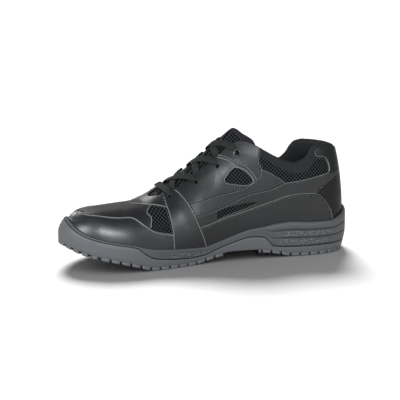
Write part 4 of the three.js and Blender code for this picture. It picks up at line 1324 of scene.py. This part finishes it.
def eyestay_lines():
    """Above the band, along the rim, with a mesh window and three eyelets."""
    top = float(rim_angle(9.25)), float(rim_angle(5.2))
    outline_of = np.vstack([seam("band_top"), seam("collar_front"), straight((5.2, 50), (5.2, top[1])),
                            topline(5.2, 9.25), straight((9.25, top[0]), (9.25, 66)),
                            seam("strap_back", low=38, back=True)])
    return [outline_of, window("eyestay")] + [round_window(e, EYELET_WIDTH) for e in EYELETS[1:]]


def band_lines():
    """The narrow band between eyestay and quarter."""
    return [np.vstack([seam("band_top"), seam("band_end"), seam("band_bottom", back=True),
                       seam("strap_back", low=24, high=38)])]


def quarter_lines():
    """Below the band and the collar, with a long mesh window."""
    return [np.vstack([seam("band_bottom"), seam("collar_bottom"), seam("counter_top", back=True),
                       seam("quarter_top", back=True), seam("strap_back", low=13, high=24)]),
            window("quarter")]


def lower_quarter_lines():
    """From the quarter down to the sole."""
    return [np.vstack([seam("quarter_top"), seam("quarter_back"), straight((1.95, 0), (8.15, 0)),
                       seam("strap_back", low=0, high=13)])]


print("strap's outline:", len(strap_lines()[0]), "points")

# %% Side pieces
COVER_TOP, STRAP_TOP, GUARD_TOP, VAMP_TOP = GAP + COVER, GAP + STRAP_COVER, GAP + COVER + 0.2, 0.6
SIDE_PIECES = [
    ("strap", strap_lines, OVERLAY_LEATHER, STRAP_TOP),
    ("eyestay", eyestay_lines, OVERLAY_LEATHER, COVER_TOP),
    ("band", band_lines, OVERLAY_LEATHER, COVER_TOP),
    ("quarter", quarter_lines, QUARTER_LEATHER, COVER_TOP),
    ("lower_quarter", lower_quarter_lines, QUARTER_LEATHER, COVER_TOP),
]
for base, lines, material, thickness in SIDE_PIECES:
    for side in ("medial", "lateral"):
        name = base + "_" + side
        sides = [laid(pattern(lines()), side == "lateral")]
        piece = leather(name + "_leather", sides, material, thickness)
        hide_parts(name)
        print(name, "faces:", len(piece.data.polygons))

# %% [markdown]
# At the front the toe guard runs round the toe in one piece. The thin vamp leather and the throat
# piece cross the crest, so they are laid from both sides and meet there. At the back the counter
# covers the stiffener and the tab hangs from the rim. Both are one pattern round the heel.

# %% Toe guard
toe_line = seam("toe_guard")
toe_outline = np.vstack([toe_line, straight((9.73, 16), (9.73, 0)), straight((9.73, 0), (RING - 9.73, 0)),
                         straight((RING - 9.73, 0), (RING - 9.73, 16)), mirrored_toe(toe_line)])
toe_guard = leather("toe_guard_leather", [laid(pattern([toe_outline]), False)],
                    GUARD_LEATHER, GUARD_TOP)
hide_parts("toe_guard")
print("toe guard faces:", len(toe_guard.data.polygons))


# %% Throat piece and vamp
def across_crest(lines):
    """The same pattern on both sides, which meet on the crest."""
    return [laid(pattern(lines), lateral) for lateral in (False, True)]


throat_outline = np.vstack([seam("throat"), seam("strap_front", low=48), straight((9.80, 66), (9.80, 74)),
                            topline(9.80, 10.4), straight((10.45, 90), (11.4, 90))])
throat_piece = leather("throat_piece_leather", across_crest([throat_outline]), OVERLAY_LEATHER,
                       COVER_TOP)
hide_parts("throat_piece")

vamp_outline = np.vstack([seam("toe_guard", low=30), seam("mesh_front", back=True),
                          seam("throat", low=64, back=True), straight((11.4, 90), (16, 90)),
                          straight((16, 90), (16, 77))])
vamp = leather("vamp_leather", across_crest([vamp_outline]), GUARD_LEATHER, VAMP_TOP, bevel=0.2)
print("vamp faces:", len(vamp.data.polygons))

# %% Counter and heel tab
counter_side = np.vstack([straight((0, 0), (1.95, 0)), seam("quarter_back", back=True),
                          seam("counter_top"), seam("counter_back")])
counter_outline = np.vstack([counter_side, mirrored(counter_side)])
counter = leather("heel_counter_leather", [laid(pattern([counter_outline]), False)],
                  HEEL_LEATHER, COVER_TOP)
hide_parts("heel_counter")

tab_side = np.vstack([seam("counter_back", back=True), seam("collar_back"),
                      straight((2.65, 32), (2.65, float(rim_angle(2.65)))), topline(2.65, 0)])
tab_outline = np.vstack([tab_side, mirrored(tab_side)])
heel_tab = leather("heel_tab_leather", [laid(pattern([tab_outline]), False)],
                   HEEL_LEATHER, COVER_TOP)
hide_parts("heel_tab")
print("heel tab faces:", len(heel_tab.data.polygons))

# %% [markdown]
# ## Inside
# The insole is a thin padded board that can be taken out, cupped a little at its edge. It is made
# of rings like the sole, because its outline is the last's own, a little smaller.

# %% Insole
INSOLE_THICKNESS = 4.0


def insole_board():
    """Rings from the middle of the underside, round the edge, to the middle of the top."""
    reach = -WALL - 3 * GAP
    low, top = lifted(BED, 0.1), lifted(BED, INSOLE_THICKNESS)
    rings = [(low, reach, 1.0), (low, reach, 0.5), (low, reach), (lifted(BED, 2.0), reach),
             (lifted(BED, INSOLE_THICKNESS - 0.6), reach), (top, reach - 0.8), (lifted(BED, 3.6), reach - 4),
             (lifted(BED, 3.3), reach - 9, 0.3), (lifted(BED, 3.2), reach - 9, 0.7),
             (lifted(BED, 3.2), reach - 9, 1.0)]
    return link("insole_board", stacked(rings), INSOLE_CLOTH)


insole = insole_board()
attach(insole, "root")
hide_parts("insole")
print("insole faces:", len(insole.data.polygons))

# %% [markdown]
# The tongue is a padded strip of mesh with a smooth lining and a bound edge. It lies under the
# throat, swells up between the eyelets and stands above them at the back. Two sheets blown up
# would not follow the last, so it is a grid along the tongue and round its section.

# %% Height of the tongue
TONGUE_EDGE, TONGUE_THICK, TONGUE_GAP, TONGUE_TUCK = 3.0, 6.0, 1.0, 1.4
TONGUE_FROM, TONGUE_TO, TONGUE_ANGLE, TONGUE_PUFF = 10.5, 5.5, 50.0, 3.8


def tongue_top(row, angle):
    """Distance of the tongue's top from the last."""
    share = np.minimum(angle / rim_angle(row), 1)
    tuck = TONGUE_TUCK * soft_step(row, 8.5, 10)
    rise = (WALL + TONGUE_GAP) * soft_step(angle, 74, 83) * (1 - soft_step(row, 8, 9))
    between = soft_step(row, 8.2, 9) * (1 - soft_step(row, 10.1, 10.5))
    puff = TONGUE_PUFF * soft_step(angle, 75, 83) * between
    return inner_side(row, share) - TONGUE_GAP - tuck + rise + puff


print("tongue's top from the last, under the lace:", round(float(tongue_top(9.0, 89.0)), 1), "mm")


# %% Tongue
def tongue_body():
    """Grid along the tongue and round its section, from one edge over the top and back below."""
    along, around = 80, 72
    bm, u, v = grid_values(along, around)
    crown = 1 - (2 * u - 1) ** 20
    turn = v * 2 * math.pi
    across = np.cos(turn)
    top = np.sin(turn) >= 0
    angle = TONGUE_ANGLE + (89.8 - TONGUE_ANGLE) * (1 - np.abs(across))
    down = (90 - angle) / 30
    end = TONGUE_TO - 0.25 * np.clip(down, 0, 1) ** 2 - 0.12 * np.exp(-(4 * down) ** 2)
    row = TONGUE_FROM + (end - TONGUE_FROM) * u
    p = np.where(across < 0, RING - row, row)
    thick = TONGUE_EDGE + (TONGUE_THICK - TONGUE_EDGE) * soft_step(angle, 52, 76)
    level = np.abs(np.sin(turn)) ** 0.5
    middle = tongue_top(row, angle) - thick / 2
    half = thick / 2 * level * np.maximum(crown, 0.02) ** 0.5
    points = form_point(p, angle, middle + np.where(top, half, -half))
    for face in bm.faces:
        mid = face.calc_center_median()
        face.material_index = 0 if abs(mid.y + 0.25) < 0.2 and mid.x < 0.44 else 1
    moved(bm, to_frame(points))
    sealed(bm)
    return link("tongue_pad", bm, MESH, LINING)


tongue = tongue_body()
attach(tongue, "root")
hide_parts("tongue")
print("tongue faces:", len(tongue.data.polygons))

# %% [markdown]
# ## Lace
# The lace is a flat braided cord. It comes up through an eyelet, lies over the leather, crosses the
# tongue and goes down through the next eyelet on the other side. The crossings that rise to a
# medial eyelet lie on top. A curve with a flat section would twist at its turns, so each crossing
# is a grid whose flat side faces along the last's normal.

# %% Way of a crossing
LACE_WIDTH, LACE_THICK, LACE_SHORT = 7.0, 1.4, 1.2
# distance from the last: on the leather, below it, and in the middle of a lower and an upper crossing
LACE_ON_LEATHER, LACE_BELOW, LACE_LOW, LACE_HIGH = 2.25, -3.3, 0.6, 1.85


def lace_heights(t, ends, level):
    """Angle and distance of a crossing's middle line. An end is an eyelet and says over or under."""
    medial = t < 0.5
    inward = 1 - np.abs(1 - 2 * t)
    row = ends[0][0][0] + (ends[1][0][0] - ends[0][0][0]) * t
    start = np.where(medial, ends[0][0][1], ends[1][0][1]) + LACE_SHORT
    is_over = np.where(medial, ends[0][1], ends[1][1])
    bend = rib(row)[:, 2] / 2
    share = 1 - np.cos(np.radians(start)) ** (1 / bend)
    share = share + (1 - share) * inward
    angle = np.minimum(np.degrees(np.arccos((1 - share) ** bend)), 89.8)
    rim = rim_angle(row)
    on_top = LACE_ON_LEATHER + (level - LACE_ON_LEATHER) * soft_step(angle, rim - 2, 89)
    on_top = on_top + 0.8 * soft_step(inward, 0.04, 0.16) * (1 - soft_step(inward, 0.16, 0.4))
    on_top = on_top - 3.6 * (1 - soft_step(inward, 0.0, 0.09))
    below = LACE_BELOW + (level - LACE_BELOW) * soft_step(angle, rim + 1.5, rim + 11)
    p = np.where(medial, row, RING - row)
    return p, angle, np.where(is_over, on_top, below), inward, is_over


print("lace:", LACE_WIDTH, "x", LACE_THICK, "mm")


# %% One crossing
def lace_crossing(ends, level):
    """One crossing as a closed grid: along the lace and round its flat section."""
    along, around = 110, 20
    bm, u, v = grid_values(along, around)
    uv = bm.loops.layers.uv.new("UVMap")
    p, angle, out, inward, is_over = lace_heights(np.linspace(0, 1, along + 1), ends, level)
    path = form_point(p, angle, out)
    for _ in range(3):
        path[1:-1] = (path[:-2] + 2 * path[1:-1] + path[2:]) / 4
    run = unit(np.gradient(path, axis=0))
    side = unit(np.cross(last_normal(p, angle), run))
    up = unit(np.cross(run, side))
    narrow = 1 - np.where(is_over, 0.5 * (1 - soft_step(inward, 0.0, 0.18)), 0)
    at = np.rint(u * along).astype(int)
    turn = v * 2 * math.pi
    wide = np.sign(np.cos(turn)) * np.abs(np.cos(turn)) ** 0.6 * LACE_WIDTH / 2 * narrow[at]
    high = np.sign(np.sin(turn)) * np.abs(np.sin(turn)) ** 0.7 * LACE_THICK / 2
    points = path[at] + side[at] * wide[:, None] + up[at] * high[:, None]
    for face in bm.faces:
        for loop in face.loops:
            loop[uv].uv = ((loop.vert.co.x + 0.5) * 60, (loop.vert.co.y + 0.5) * 16)
    moved(bm, to_frame(points))
    sealed(bm)
    return bm


print("crossings:", 1 + 2 * (len(EYELETS) - 1))


# %% Whole lace
def whole_lace():
    """A straight bar through the first eyelets, then a crossed pair to each pair after it."""
    first = EYELETS[0]
    parts = [lace_crossing([(first, True), (first, True)], LACE_LOW)]
    for toe_eyelet, eyelet in zip(EYELETS, EYELETS[1:]):
        parts.append(lace_crossing([(eyelet, True), (toe_eyelet, False)], LACE_HIGH))
        parts.append(lace_crossing([(toe_eyelet, False), (eyelet, True)], LACE_LOW))
    return link("lace_cord", joined(*parts), LACE_CORD)


lace = whole_lace()
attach(lace, "root")
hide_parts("lace")
print("lace faces:", len(lace.data.polygons))

# %% [markdown]
# ## Stitching
# Seams are sewn with bonded thread, about four stitches to the centimetre. Each stitch is a short
# bead, and rows of them follow the seams at a set distance from the cut edge. Thousands of objects
# would be slow, so the beads of a side are one mesh made from arrays.

# %% Rows beside a seam
STITCH_PITCH, STITCH_LENGTH, STITCH_WIDTH, STITCH_HEIGHT = 2.6, 1.7, 0.65, 0.3


def beside(line, lateral, offset, out):
    """A line of the pattern's plane on the shoe: points, direction, normal and side, in millimetres."""
    row, angle = line[:, 0] / ROW_MM, np.minimum(line[:, 1] / DEGREE_MM, 89.5)
    p = RING - row if lateral else row
    points = to_frame(form_point(p, angle, out)) / MM
    normal = last_normal(p, angle) * (-1, 1, 1)
    along = unit(np.gradient(points, axis=0))
    side = unit(np.cross(along, normal)) * (-1 if lateral else 1)
    return points + side * offset, along, normal, side


def stitch_row(line, lateral, offset, out):
    """Middles, directions and normals of the stitches beside a line."""
    points, along, normal, _ = beside(line, lateral, offset, out)
    run = np.concatenate([[0], np.cumsum(np.linalg.norm(np.diff(points, axis=0), axis=1))])
    at = np.arange(STITCH_PITCH / 2, run[-1], STITCH_PITCH)

    def picked(values):
        return np.stack([np.interp(at, run, values[:, k]) for k in range(3)], -1)
    return picked(points), unit(picked(along)), unit(picked(normal))


print("stitches to the centimetre:", round(10 / STITCH_PITCH, 1))


# %% Beads of thread
def bead(size):
    """A flattened bead lying along X, a few faces only."""
    bm = bmesh.new()
    bmesh.ops.create_uvsphere(bm, u_segments=8, v_segments=5, radius=0.5)
    bmesh.ops.rotate(bm, verts=bm.verts, matrix=Matrix.Rotation(math.pi / 2, 3, "Y"))
    bmesh.ops.scale(bm, verts=bm.verts, vec=size)
    bm.verts.index_update()
    corners = np.array([v.co[:] for v in bm.verts])
    faces = [[v.index for v in f.verts] for f in bm.faces]
    bm.free()
    return corners, faces


def sewn(name, rows, size, shift, material):
    """The beads of several rows as one mesh. shift moves them along the row, in pitches."""
    corners, faces = bead(size)
    points, all_faces = [], []
    for middles, along, normal in rows:
        axes = np.stack([along, np.cross(normal, along), normal], 1)
        for middle, axis in zip(middles + along * shift * STITCH_PITCH, axes):
            start = len(points) * len(corners)
            points.append(middle + corners @ axis)
            all_faces += [[k + start for k in face] for face in faces]
    mesh = bpy.data.meshes.new(name)
    mesh.from_pydata((np.vstack(points) * MM).tolist(), [], all_faces)
    mesh.uv_layers.new(name="UVMap")
    mesh.shade_smooth()
    mesh.materials.append(material)
    piece = bpy.data.objects.new(name, mesh)
    bpy.context.scene.collection.objects.link(piece)
    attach(piece, "root")
    print(name, "beads:", len(points))


print("corners of a bead:", len(bead((1, 1, 1))[0]))

# %% [markdown]
# Folded edges, the ridge on the eyestay and the light line of each cut edge stand up a little. Each
# is a half round welt that follows its seam and sinks in at its ends. The light lines are a painted
# highlight along the cut edges, in the lighter grey of the edge.

# %% Welts
def welt(line, lateral, offset, out, width, height):
    """A half round ridge that follows a seam, such as a folded or piped edge."""
    points, along, normal, side = beside(line, lateral, offset, out)
    bm, u, v = grid_values(len(points) - 1, 8)
    at = np.rint(u * (len(points) - 1)).astype(int)
    fade = np.clip(np.minimum(at, len(points) - 1 - at) / 3, 0.02, 1) ** 0.5
    turn = v * math.pi
    shape = points[at] + side[at] * (np.cos(turn) * width / 2)[:, None]
    shape = shape + normal[at] * (np.sin(turn) * height * fade)[:, None]
    moved(bm, shape * MM)
    if not lateral:
        bmesh.ops.reverse_faces(bm, faces=bm.faces)
    return bm


def welts(name, parts, material):
    """Joins welts to one piece that rides on the shoe."""
    piece = link(name, joined(*parts), material)
    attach(piece, "root")
    print(name, "faces:", len(piece.data.polygons))


print("light lines are of", EDGE_HIGHLIGHT_PAINT.name)

# %% Where stitches and painted highlight lines run
# seam, lowest and highest angle, distance from the edge (left of the seam's way), height
STITCH_ROWS = [
    ("toe_guard", 17, 80, 2.9, GUARD_TOP), ("strap_front", 14, 66, -2.2, STRAP_TOP),
    ("strap_back", 8, 66, 2.0, STRAP_TOP), ("throat", 50, 86, 2.0, COVER_TOP),
    ("band_top", 0, 90, -2.0, COVER_TOP), ("band_bottom", 0, 90, -2.0, COVER_TOP),
    ("band_bottom", 0, 90, 1.8, COVER_TOP), ("quarter_top", 0, 90, 2.0, COVER_TOP),
    ("quarter_back", 4, 90, 2.0, COVER_TOP), ("collar_front", 0, 90, 2.0, COVER_TOP),
    ("collar_bottom", 0, 90, 2.0, COVER_TOP), ("mesh_front", 0, 90, 1.6, VAMP_TOP),
    ("collar_back", 0, 90, -1.8, COVER_TOP), ("counter_top", 0, 90, -2.0, COVER_TOP),
    ("ridge", 0, 90, -2.2, COVER_TOP), ("eyestay window", 0, 90, -2.0, COVER_TOP),
]
# seam, lowest and highest angle, distance from the edge, height, width of the painted highlight line
PAINTED_HIGHLIGHT_LINES = [
    ("ridge", 0, 90, -1.3, COVER_TOP, 0.55), ("ridge", 0, 90, 1.3, COVER_TOP, 0.55),
    ("toe_guard", 16, 90, 1.9, GUARD_TOP, 0.65), ("throat", 48, 90, 0.5, COVER_TOP, 0.5),
    ("strap_front", 0, 66, -0.4, STRAP_TOP, 0.5), ("strap_back", 0, 66, 0.4, STRAP_TOP, 0.6),
    ("quarter_top", 0, 90, -0.4, COVER_TOP, 0.5), ("quarter_back", 0, 90, -0.4, COVER_TOP, 0.3),
    ("band_top", 0, 90, 0.4, COVER_TOP, 0.25), ("band_bottom", 0, 90, 0.4, COVER_TOP, 0.25),
    ("band_end", 0, 90, 0.4, COVER_TOP, 0.25), ("collar_bottom", 0, 90, 0.4, COVER_TOP, 0.35),
    ("collar_back", 0, 90, 0.4, COVER_TOP, 0.35), ("collar_front", 0, 90, 0.4, COVER_TOP, 0.3),
    ("mesh_front", 0, 90, 0.4, VAMP_TOP, 0.6), ("eyestay window", 0, 90, -0.6, COVER_TOP, 0.35),
]


def edge(name, low, high):
    """A seam, or the closed edge of a window."""
    if name.endswith("window"):
        line = window(name.split()[0])
        return np.vstack([line, line[:1]])
    return seam(name, low, high)


print("rows of stitches on each side:", len(STITCH_ROWS))

# %% Stitches, and painted shade in the needle holes
# each needle hole is a near-black bead that stands for the shade in the hole: painted shade
PAINTED_HOLE_SHADE = woven_lining("shadow in the needle holes", "030303")
HOLE_SIZE = (1.1, 0.9, 0.16)
for lateral, side in ((False, "medial"), (True, "lateral")):
    rows = [stitch_row(edge(name, low, high), lateral, offset, out)
            for name, low, high, offset, out in STITCH_ROWS]
    sewn("stitching_" + side, rows, (STITCH_LENGTH, STITCH_WIDTH, 2 * STITCH_HEIGHT), 0, THREAD)
    sewn("painted_needle_hole_shade_" + side, rows, HOLE_SIZE, 0.5, PAINTED_HOLE_SHADE)

# %% [markdown]
# A punched eyelet is a dark round hole that the lace fills in part. A flat dark bead just above the
# shell stands for the shade in the hole: painted shade. The top eyelet has a raised rim, which is a
# welt round its hole.

# %% Eyelets
def eyelet_places(lateral):
    """Middle, direction and normal of each eyelet, as for stitches."""
    lines = [plane([(row, angle), (row + 0.05, angle)]) for row, angle in EYELETS]
    found = [beside(line, lateral, 0, 0.35) for line in lines]
    return [tuple(np.stack([f[k][0] for f in found]) for k in range(3))]


EYELET_SHADOW, RIM_WIDTH, RIM_HEIGHT = (4.4, 4.4, 0.5), 2.0, 1.2
rims = []
for lateral, side in ((False, "medial"), (True, "lateral")):
    # near-black beads at the eyelets: painted shade in the holes
    sewn("painted_eyelet_hole_shade_" + side, eyelet_places(lateral), EYELET_SHADOW, 0, PAINTED_HOLE_SHADE)
    hole = round_window(EYELETS[-1], EYELET_WIDTH + 2.2)
    rims.append(welt(np.vstack([hole, hole[:2]]), lateral, 0, COVER_TOP - 0.1, RIM_WIDTH, RIM_HEIGHT))
welts("top_eyelet_rims", rims, GUARD_LEATHER)

# %% Folded edge, ridges and painted highlight lines
folds = [welt(seam("toe_guard"), lateral, 0.9, GUARD_TOP - 0.2, 1.8, 0.5) for lateral in (False, True)]
welts("toe_guard_folded_edge", folds, GUARD_LEATHER)
ridges = [welt(seam("ridge"), lateral, 0, COVER_TOP - 0.1, 2.4, 1.0) for lateral in (False, True)]
welts("eyestay_ridges", ridges, OVERLAY_LEATHER)
# the light lines are welts in the lighter edge grey: a painted highlight along the cut edges
lines = []
for name, low, high, offset, out, width in PAINTED_HIGHLIGHT_LINES:
    for lateral in (False, True):
        lines.append(welt(edge(name, low, high), lateral, offset, out, width, 0.5 * width))
welts("painted_highlight_lines", lines, EDGE_HIGHLIGHT_PAINT)
